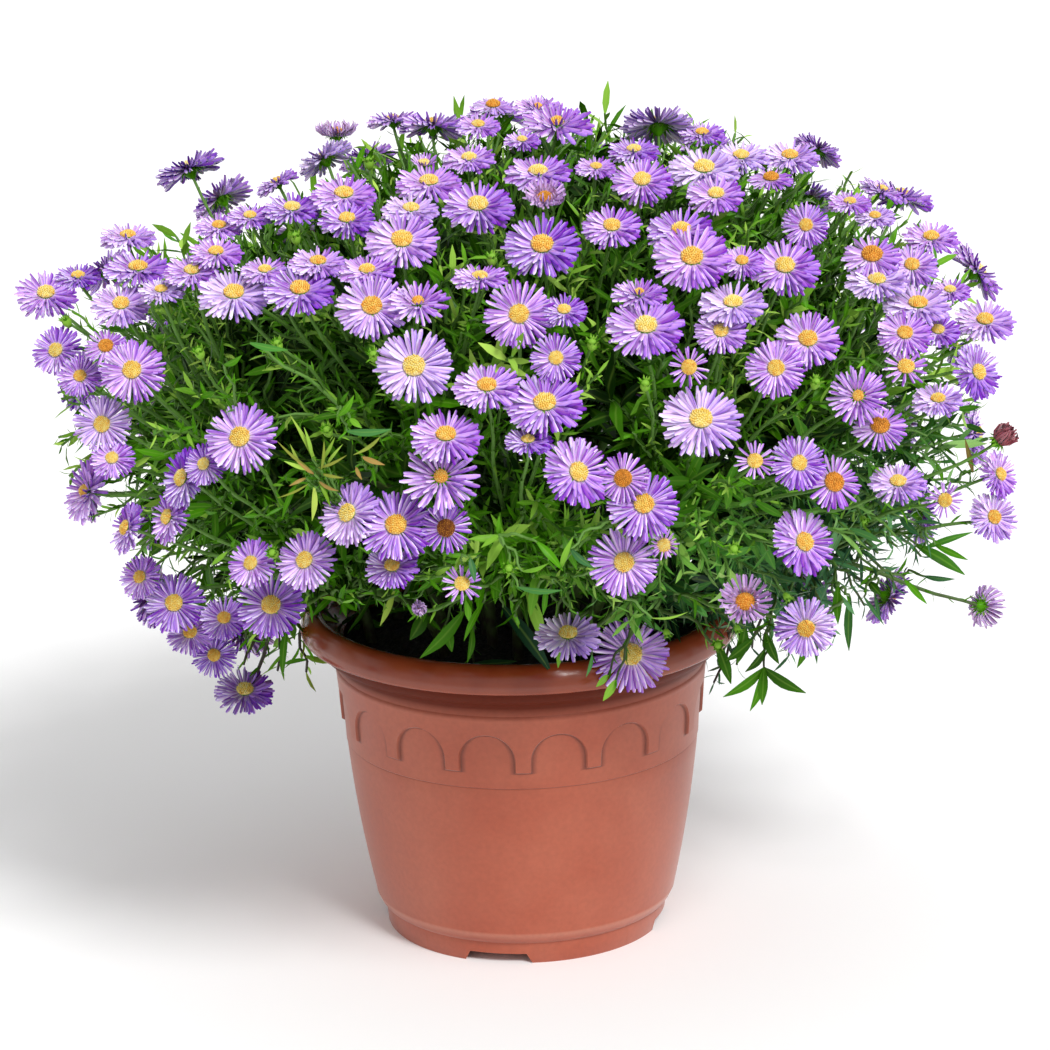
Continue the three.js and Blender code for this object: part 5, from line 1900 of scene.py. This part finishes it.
    def side_shoot(self, number: int, kind: Shoot, forks: list[Vector], random: np.random.Generator) -> Twig:
        """Grows one leafy shoot towards the dome.

        Args:
            number: Its number, which sets its place by the golden angle.
            kind: Kind of shoot.
            forks: Forks of the main stems.
            random: Source of chance.

        Returns:
            The shoot.
        """
        form = SHOOT_FORMS[kind]
        azimuth = number * GOLDEN_ANGLE + form.phase
        height = self.crown_share(number, form.count, azimuth)
        crown = max(0.0, height) / self.cushion.rise
        reach = random.uniform(*form.reach) - self.crown_stoop * crown
        tip = self.cushion.point(azimuth, height, reach)
        tip.z -= self.sink(tip, crown)
        if self.mouth_left * MM < tip.x < self.mouth_right * MM and tip.y < 0:
            tip.z = max(tip.z, (self.mouth_top + random.uniform(0, self.mouth_ragged)) * MM)
        fork = min(forks, key=lambda f: (f - tip).length)
        start = fork.lerp(tip, random.uniform(*form.start))
        lead = start.lerp(tip, self.shoot_lead) + Vector((0, 0, random.uniform(*self.shoot_lift) * MM))
        depth = (reach + self.crown_stoop * crown - form.reach[0]) / (form.reach[1] - form.reach[0])
        light = form.light[0] + (form.light[1] - form.light[0]) * depth * random.uniform(*self.shoot_light)
        low_right = max(0.0, tip.x / (self.cool_at * MM)) * max(0.0, -height / self.cool_under)
        twig = self.twig(SIDE_SHOOT, start, lead, tip, random)
        twig.leaf, twig.broad = random.uniform(*form.leaf) * MM, random.uniform(*form.broad)
        twig.light, twig.cool = light, min(self.most_cool, low_right)
        return twig

    def carrier(self, twigs: list[Twig]) -> Mesh:
        """Makes the wire mesh that the trees read.

        Args:
            twigs: Twigs.

        Returns:
            A mesh of edges with the twigs' thickness, bareness, leaf length and light.
        """
        points, edges = [], []
        thick, owners = [], []
        for twig in twigs:
            first = len(points)
            for k, point in enumerate(twig.points):
                points.append(tuple(point))
                thick.append(twig.thick * (1.5 - 0.7 * k / len(twig.points)))
                owners.append(twig)
                if k:
                    edges.append((first + k - 1, first + k))
        mesh = mesh_from("wires", np.array(points), [], edges)
        names = ("bare", "leaf", "light", "broad", "cool", "dry")
        write(mesh, thick=thick, **{name: [getattr(twig, name) for twig in owners] for name in names})
        return mesh


@dataclass
class Greenery:
    """Dresses the twigs: bark tubes and spirals of narrow leaves."""

    bark: Material
    leaf_wax: Material
    stem_sides: int = 8
    stalk_sides: int = 5
    shoot_sides: int = 3
    stalk_every: float = 3.6
    stem_every: float = 4.0
    stalk_fade: float = 0.5
    stem_fade: float = 0.2
    shoot_fade: float = 0.3
    tilt_deg: float = 38.0
    group_seeds: tuple[int, int] = (40, 9)
    # Lowest, highest and seed of a leaf's swing, dip, roll, stretch, luck and breadth
    leaf_chances: Triples = (
        (-0.5, 0.5, 1), (-0.35, 0.35, 2), (-0.3, 0.3, 3), (0.65, 1.25, 4), (0, 1, 5), (0.8, 1.25, 6))

    def bark_recipe(self) -> Recipe:
        """Builds the tree that turns wires to tapering tubes and returns it."""
        recipe = Recipe("bark tubes")
        add = recipe.add
        (sides,) = recipe.ask(Sides="Int")
        thick = add("GeometryNodeInputNamedAttribute", {"Name": "thick"}, "Attribute", data_type="FLOAT")
        recipe.close(add("GeometryNodeCurveToMesh", {
            "Curve": add("GeometryNodeMeshToCurve", (recipe.entry.outputs[0],)),
            "Profile Curve": add(
                "GeometryNodeCurvePrimitiveCircle", {"Resolution": sides, "Radius": 1.0}, mode="RADIUS"),
            "Fill Caps": True,
            "Scale": thick,
        }))
        return recipe

    def leaf_recipe(self) -> Recipe:
        """Builds the tree that sets leaves in a spiral round each twig and returns it."""
        recipe = Recipe("spiral of leaves")
        add = recipe.add
        every, seed, tilt, fade, *leaves = recipe.ask(
            Every="Float", Seed="Int", Tilt="Float", Fade="Float", Flat_leaf="Object", Arched_leaf="Object",
            Twisted_leaf="Object")
        swing, dip, roll, stretch, luck, widen = recipe.chances(seed, self.leaf_chances)
        bare, leaf, broad, step = (
            add("GeometryNodeInputNamedAttribute", {"Name": name}, "Attribute", data_type="FLOAT")
            for name in ("bare", "leaf", "broad", "step"))
        curve = add("GeometryNodeMeshToCurve", (recipe.entry.outputs[0],))
        even = add("GeometryNodeResampleCurve", {"Curve": curve, "Length": every}, mode="LENGTH")
        along = add("GeometryNodeSplineParameter", out="Factor")
        marked = add(
            "GeometryNodeStoreNamedAttribute", {"Geometry": even, "Name": "step", "Value": along},
            data_type="FLOAT", domain="POINT")
        points = add("GeometryNodeCurveToPoints", {"Curve": marked}, "Points", mode="EVALUATED")
        under = add("ShaderNodeMath", (step, bare), operation="LESS_THAN")
        kept = add("GeometryNodeDeleteGeometry", {"Geometry": points, "Selection": under}, domain="POINT")
        # Each leaf turns by the golden angle from the one before, and leans out and rolls a little
        index = add("GeometryNodeInputIndex")
        turn = add("ShaderNodeMath", (index, GOLDEN_ANGLE, swing), operation="MULTIPLY_ADD")
        raised = add("ShaderNodeMath", (tilt, dip), operation="ADD")
        rise = add("ShaderNodeMath", (raised, -1.0), operation="MULTIPLY")
        rotation = points.node.outputs["Rotation"]
        for angles in ((0.0, 0.0, turn), (roll, rise, 0.0)):
            own = add("FunctionNodeEulerToRotation", (add("ShaderNodeCombineXYZ", angles),))
            rotation = add("FunctionNodeRotateRotation", (rotation, own), rotation_space="LOCAL")
        # Leaves get shorter towards the tip
        faded = add("ShaderNodeMath", (step, fade), operation="MULTIPLY")
        taper = add("ShaderNodeMath", (1.0, faded), operation="SUBTRACT")
        full = add("ShaderNodeMath", (leaf, taper), operation="MULTIPLY")
        length = add("ShaderNodeMath", (full, stretch), operation="MULTIPLY")
        wide = add("ShaderNodeMath", (broad, widen), operation="MULTIPLY")
        width = add("ShaderNodeMath", (length, wide), operation="MULTIPLY")
        kinds = [
            add("GeometryNodeObjectInfo", {"Object": kind, "As Instance": True}, "Geometry")
            for kind in leaves]
        recipe.close(add("GeometryNodeInstanceOnPoints", {
            "Points": kept,
            "Instance": add("GeometryNodeJoinGeometry", [kinds]),
            "Pick Instance": True,
            "Instance Index": add(
                "FunctionNodeRandomValue", {4: 0, 5: 2, "Seed": seed}, 2, data_type="INT"),
            "Rotation": rotation,
            "Scale": add("ShaderNodeCombineXYZ", (length, width, length)),
        }), luck=luck)
        return recipe

    def build(self, branching: Branching, growth: Growth, shapes: dict[str, Object]) -> None:
        """Builds bark and leaves of the whole plant, the bark as one piece and each kind of leaves as one.

        Args:
            branching: The grower of twigs.
            growth: All twigs.
            shapes: Small shapes by name.
        """
        side = [twig for twigs in growth.shoots.values() for twig in twigs]
        tubes = self.bark_recipe()
        parts = [
            tubes.bake(name, branching.carrier(twigs), self.bark, Sides=sides)
            for name, twigs, sides in (
                ("stem_bark", growth.stems, self.stem_sides), ("stalk_bark", growth.stalks, self.stalk_sides),
                ("shoot_bark", side, self.shoot_sides))]
        nodes = sorted(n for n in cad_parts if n.startswith("stem"))
        settle(mesh_object("stems_and_stalks", joined("stems_and_stalks", parts)), "foliage", *nodes)
        spiral = self.leaf_recipe()
        fine = ("leaf_flat", "leaf_arched", "leaf_twisted")
        plain = ("plain_flat", "plain_arched", "plain_flat")
        groups = [("stalk", growth.stalks, self.stalk_every, self.stalk_fade, fine),
                  ("stem", growth.stems, self.stem_every, self.stem_fade, fine)]
        for kind, twigs in growth.shoots.items():
            leaves = plain if kind is Shoot.INNER else fine
            groups.append((kind.value, twigs, SHOOT_FORMS[kind].every, self.shoot_fade, leaves))
        for number, (kind, twigs, every, fade, leaves) in enumerate(groups):
            flat, arched, twisted = (shapes[leaf] for leaf in leaves)
            first, step = self.group_seeds
            mesh = spiral.bake(
                f"{kind}_leaves", branching.carrier(twigs), self.leaf_wax, Every=every * MM,
                Seed=first + step * number, Tilt=math.radians(self.tilt_deg), Fade=fade, Flat_leaf=flat,
                Arched_leaf=arched, Twisted_leaf=twisted)
            settle(mesh_object(mesh.name, mesh), "foliage", *nodes)


@dataclass(frozen=True)
class NotedLeaf:
    """A leaf that stands out in the picture: base and tip in picture pixels, the rest in millimetres."""

    base_x: float
    base_y: float
    tip_x: float
    tip_y: float
    front: float
    width: float
    light: float
    cool: float = 0.0
    dry: float = 0.0
    sag: float = 0.10


NOTED_LEAVES = tuple(NotedLeaf(*row) for row in (
    # Over the mouth of the pot
    (503, 607, 552, 674, 92, 6.4, 0.1, 0.5), (526, 588, 545, 645, 96, 5.5, 0.75),
    (463, 612, 420, 658, 84, 5.8, 0.42), (483, 603, 464, 641, 102, 2.9, 0.62),
    (472, 628, 467, 663, 88, 3.2, 0.3), (394, 591, 380, 626, 96, 2.9, 0.7, 0, 0.25),
    (425, 612, 410, 640, 76, 6.4, 0.2), (616, 680, 603, 701, 108, 3.6, 0.8),
    (608, 675, 596, 687, 106, 2.8, 0.75), (563, 646, 558, 668, 111, 2.8, 0.6),
    (592, 655, 586, 677, 113, 1.9, 0.5, 0.5), (474, 664, 517, 661, 73, 3.8, 0.1, 0.5),
    (445, 625, 452, 652, 82, 4.6, 0.25), (540, 640, 585, 655, 75, 3.8, 0.12, 0.5),
    # Under the skirt, at the right and the left
    (764, 668, 723, 697, 102, 4.8, 0.3), (764, 668, 750, 711, 102, 4.4, 0.32),
    (764, 668, 806, 693, 102, 5.4, 0.28), (764, 668, 762, 705, 102, 4.2, 0.25),
    (717, 645, 731, 684, 100, 5.0, 0.15), (745, 628, 737, 664, 100, 5.2, 0.2),
    (766, 634, 779, 664, 100, 4.6, 0.2), (752, 640, 726, 661, 102, 4.6, 0.25),
    (764, 650, 745, 672, 101, 4.2, 0.2), (925, 548, 973, 532, 50, 3.0, 0.35, 0.2),
    (850, 597, 849, 651, 82, 3.9, 0.25, 0.35), (838, 586, 838, 624, 92, 4.1, 0.3),
    (818, 628, 817, 664, 102, 2.4, 0.25, 0.4), (808, 637, 797, 668, 99, 3.6, 0.35),
    (905, 580, 927, 604, 61, 2.9, 0.5), (864, 597, 884, 625, 71, 1.9, 0.25, 0.6),
    (935, 545, 968, 560, 61, 3.0, 0.3), (916, 545, 965, 575, 50, 5.0, 0.3, 0.1, 0, 0.2),
    (924, 576, 955, 579, 50, 2.6, 0.25, 0.6), (869, 582, 881, 595, 60, 4.0, 0.15),
    (941, 450, 965, 475, 20, 1.5, 0.2, 0.3), (936, 463, 943, 482, 20, 2.4, 0.5),
    (918, 425, 951, 439, 20, 2.2, 0.25), (875, 595, 880, 620, 60, 1.8, 0.3, 0.6),
    (287, 625, 283, 677, 102, 3.4, 0.2), (233, 600, 240, 640, 91, 2.4, 0.25),
    # Lit leaves on the front
    (347, 431, 392, 429, 212, 3.4, 0.45, 0.45), (350, 419, 362, 428, 212, 2.6, 0.6),
    (338, 416, 354, 395, 208, 3.2, 0.55), (537, 542, 563, 571, 216, 3.4, 0.5),
    (561, 568, 573, 537, 218, 2.6, 0.6), (518, 587, 563, 590, 212, 2.9, 0.45, 0.4),
    (571, 549, 594, 568, 216, 3.2, 0.35, 0.6), (470, 558, 475, 582, 205, 2.9, 0.3, 0.6),
    (652, 618, 688, 612, 200, 1.4, 0.7), (522, 571, 549, 563, 214, 2.4, 0.55),
    (250, 343, 288, 350, 200, 2.9, 0.6, 0.3), (224, 365, 242, 355, 196, 3.2, 0.5),
    # Withered shoot at the left of the front
    (317, 467, 290, 415, 206, 1.9, 0.7, 0, 0.2), (309, 468, 277, 441, 206, 1.3, 0.6, 0, 0.5),
    (312, 458, 304, 427, 208, 1.6, 0.75, 0, 0.1), (322, 460, 335, 437, 208, 1.6, 0.7, 0, 0.2),
    (318, 468, 347, 455, 208, 1.4, 0.5, 0, 0.5), (319, 481, 339, 491, 207, 1.9, 0.2, 0, 0.9),
    (314, 487, 312, 521, 206, 2.6, 0.85, 0, 0.3), (306, 478, 289, 486, 206, 1.5, 0.2, 0, 0.8),
    (308, 484, 277, 498, 206, 1.1, 0.6, 0, 0.45), (321, 470, 324, 440, 209, 1.4, 0.55, 0, 0.4),
    (314, 474, 297, 461, 208, 1.5, 0.2, 0, 0.9), (322, 474, 344, 478, 209, 1.4, 0.5, 0, 0.5),
    (307, 470, 284, 461, 205, 1.7, 0.8, 0, 0.1), (318, 480, 331, 508, 206, 1.6, 0.6, 0, 0.2),
    (326, 466, 343, 444, 204, 1.3, 0.8, 0, 0.1), (300, 466, 290, 444, 204, 1.3, 0.7, 0, 0.3),
    (362, 457, 385, 465, 208, 2.2, 0.4, 0, 0.95), (356, 467, 362, 480, 208, 1.7, 0.4, 0, 0.9),
    (380, 437, 353, 455, 208, 1.9, 0.6, 0, 0.4), (973, 472, 965, 438, 18, 2.4, 0.0, 0, 0.55),
))


@dataclass
class LeafPortraits:
    """Builds the noted leaves one by one."""

    view: Viewpoint
    leaf_wax: Material
    outline: tuple[float, ...] = (0.28, 0.72, 0.96, 1.0, 0.82, 0.48, 0.06)
    fold: float = 0.16
    tip_advance: float = 3.0
    turn: float = 0.5
    luck: tuple[float, float] = (0.3, 0.7)
    seed: int = 31

    def bases(self) -> list[Vector]:
        """Returns the places where the noted leaves leave their twigs, each once."""
        spots = sorted({(leaf.base_x, leaf.base_y, leaf.front) for leaf in NOTED_LEAVES})
        return [self.view.place((x, y), front) for x, y, front in spots]

    def build(self) -> None:
        """Builds all noted leaves as one piece."""
        random = np.random.default_rng(self.seed)
        points, faces = [], []
        names = ("across", "luck", "light", "cool", "dry")
        values: dict[str, list[float]] = {name: [] for name in names}
        last = len(self.outline) - 1
        for leaf in NOTED_LEAVES:
            base = self.view.place((leaf.base_x, leaf.base_y), leaf.front)
            tip = self.view.place((leaf.tip_x, leaf.tip_y), leaf.front + self.tip_advance)
            line = tip - base
            side = line.cross(Vector((0, 1, 0))).normalized()
            side = (side + Vector((0, 1, 0)) * random.uniform(-self.turn, self.turn)).normalized()
            lift = side.cross(line).normalized()
            lift = lift if lift.y < 0 else -lift
            luck = random.uniform(*self.luck)
            for row, width in enumerate(self.outline):
                t = row / last
                spine = base + line * t + lift * line.length * leaf.sag * math.sin(math.pi * t)
                for edge in (-1, 0, 1):
                    half = width * leaf.width * MM / 2
                    points.append(tuple(spine + side * half * edge + lift * half * self.fold * 2 * abs(edge)))
                    for name, value in zip(names, (float(edge), luck, leaf.light, leaf.cool, leaf.dry)):
                        values[name].append(value)
                if row:
                    a = len(points) - 6
                    faces += [(a, a + 1, a + 4, a + 3), (a + 1, a + 2, a + 5, a + 4)]
        mesh = mesh_from("noted_leaves", np.array(points), faces)
        write(mesh, **values)
        mesh.materials.append(self.leaf_wax)
        nodes = sorted(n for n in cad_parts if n.startswith("stem"))
        settle(mesh_object("noted_leaves", mesh), "foliage", *nodes)


@dataclass
class Buds:
    """Green scaly buds on the stalks, and smaller ones at the tips of some shoots."""

    maker: HeadMaker
    length: float = 6.0
    tip_length: float = 4.4
    tips_every: int = 17
    rings: int = 5
    sides: int = 8
    girth: float = 0.36
    top: float = 0.52
    bottom: float = -0.42
    # Part of a half sine wave that the egg's outline follows, from and over, and its power
    egg: tuple[float, float, float] = (0.12, 0.84, 0.8)
    egg_luck: float = 0.75
    scale_count: int = 8
    scale_phase: float = 0.4
    scale_seed: int = 300
    scale_width: float = 0.2
    scale_rings: Triples = ((0.22, 0.62, 52), (0.28, 0.55, 74))
    light: float = 0.6

    def unit(self, rays: Recipe, shapes: dict[str, Object]) -> Object:
        """Makes one egg-shaped bud of length 1, wrapped in bracts.

        Args:
            rays: Tree that lays one ring of blades.
            shapes: Small shapes by name.

        Returns:
            Its carrier object.
        """
        wax = self.maker.leaf_wax
        steps = [k / self.rings for k in range(self.rings)]
        low, share, power = self.egg
        bulge = [self.girth * math.sin(math.pi * (low + t * share)) ** power for t in steps]
        rings = [(radius, t + self.bottom) for radius, t in zip(bulge, steps)]
        egg = turned_mesh("bud_egg", rings, self.sides, self.top, wax, across=1.0, luck=self.egg_luck)
        spot = mesh_from("carrier", np.zeros((1, 3)), [])
        scales = [
            rays.bake(f"bud_scales_{k}", spot, wax, Ray=shapes["bract"], Count=self.scale_count, Start=start,
                      Length=length, Width=self.scale_width, Lift=math.radians(lift),
                      Seed=self.scale_seed + k, Phase=self.scale_phase * k)
            for k, (start, length, lift) in enumerate(self.scale_rings)]
        return mesh_object("bud_unit", joined("bud_unit", [egg, *scales]))

    def build(
        self, buds: list[Bud], tips: list[Twig], field: Recipe, rays: Recipe, shapes: dict[str, Object]
    ) -> None:
        """Sets a bud on each place, all as one piece.

        Args:
            buds: Bud places.
            tips: Shoots, some of which end in a bud.
            field: Tree that sets heads on points.
            rays: Tree that lays one ring of blades.
            shapes: Small shapes by name.
        """
        ends = [t.points for t in tips[:: self.tips_every]]
        places = [b.centre for b in buds] + [end[-1] for end in ends]
        facings = [b.normal for b in buds] + [(end[-1] - end[-3]).normalized() for end in ends]
        turns = [tuple(f.to_track_quat("Z", "Y").to_euler("XYZ")) for f in facings]
        mesh = mesh_from("bud_points", np.array([tuple(p) for p in places]), [])
        sizes = [self.length * MM] * len(buds) + [self.tip_length * MM] * len(ends)
        write(mesh, facing=turns, size=sizes, light=self.light)
        unit = self.unit(rays, shapes)
        result = field.bake("buds", mesh, self.maker.leaf_wax, Head=unit)
        bpy.data.objects.remove(unit)
        settle(mesh_object("buds", result), "foliage")


def main() -> None:
    """Builds the pot, the soil and the plant in order."""
    logging.basicConfig(level=logging.INFO, format="%(message)s")
    view = Viewpoint()
    view.camera()
    Studio().build()
    Pot().build(TerracottaPolypropylene().build(), PolishedRimPolypropylene().build())
    Soil().build(PottingSoil().build())
    leaf_wax = AsterLeaf().build()
    survey = Survey()
    field = BloomField(survey, view)
    blooms, buds = field.gather()
    shapes = SmallShapes().build()
    maker = HeadMaker(RayPetal().build(), DiscFloret().build(), leaf_wax)
    field.build(blooms, maker, shapes)
    branching = Branching(Cushion(), survey)
    growth = branching.grow(blooms, buds)
    portraits = LeafPortraits(view, leaf_wax)
    branching.reach_out(growth, portraits.bases())
    Greenery(GreenBark().build(), leaf_wax).build(branching, growth, shapes)
    Buds(maker).build(buds, growth.shoots[Shoot.FEATHERY], field.field_recipe(), maker.ray_recipe(), shapes)
    portraits.build()
    for shape in shapes.values():
        bpy.data.objects.remove(shape)


if __name__ == "__main__":
    main()
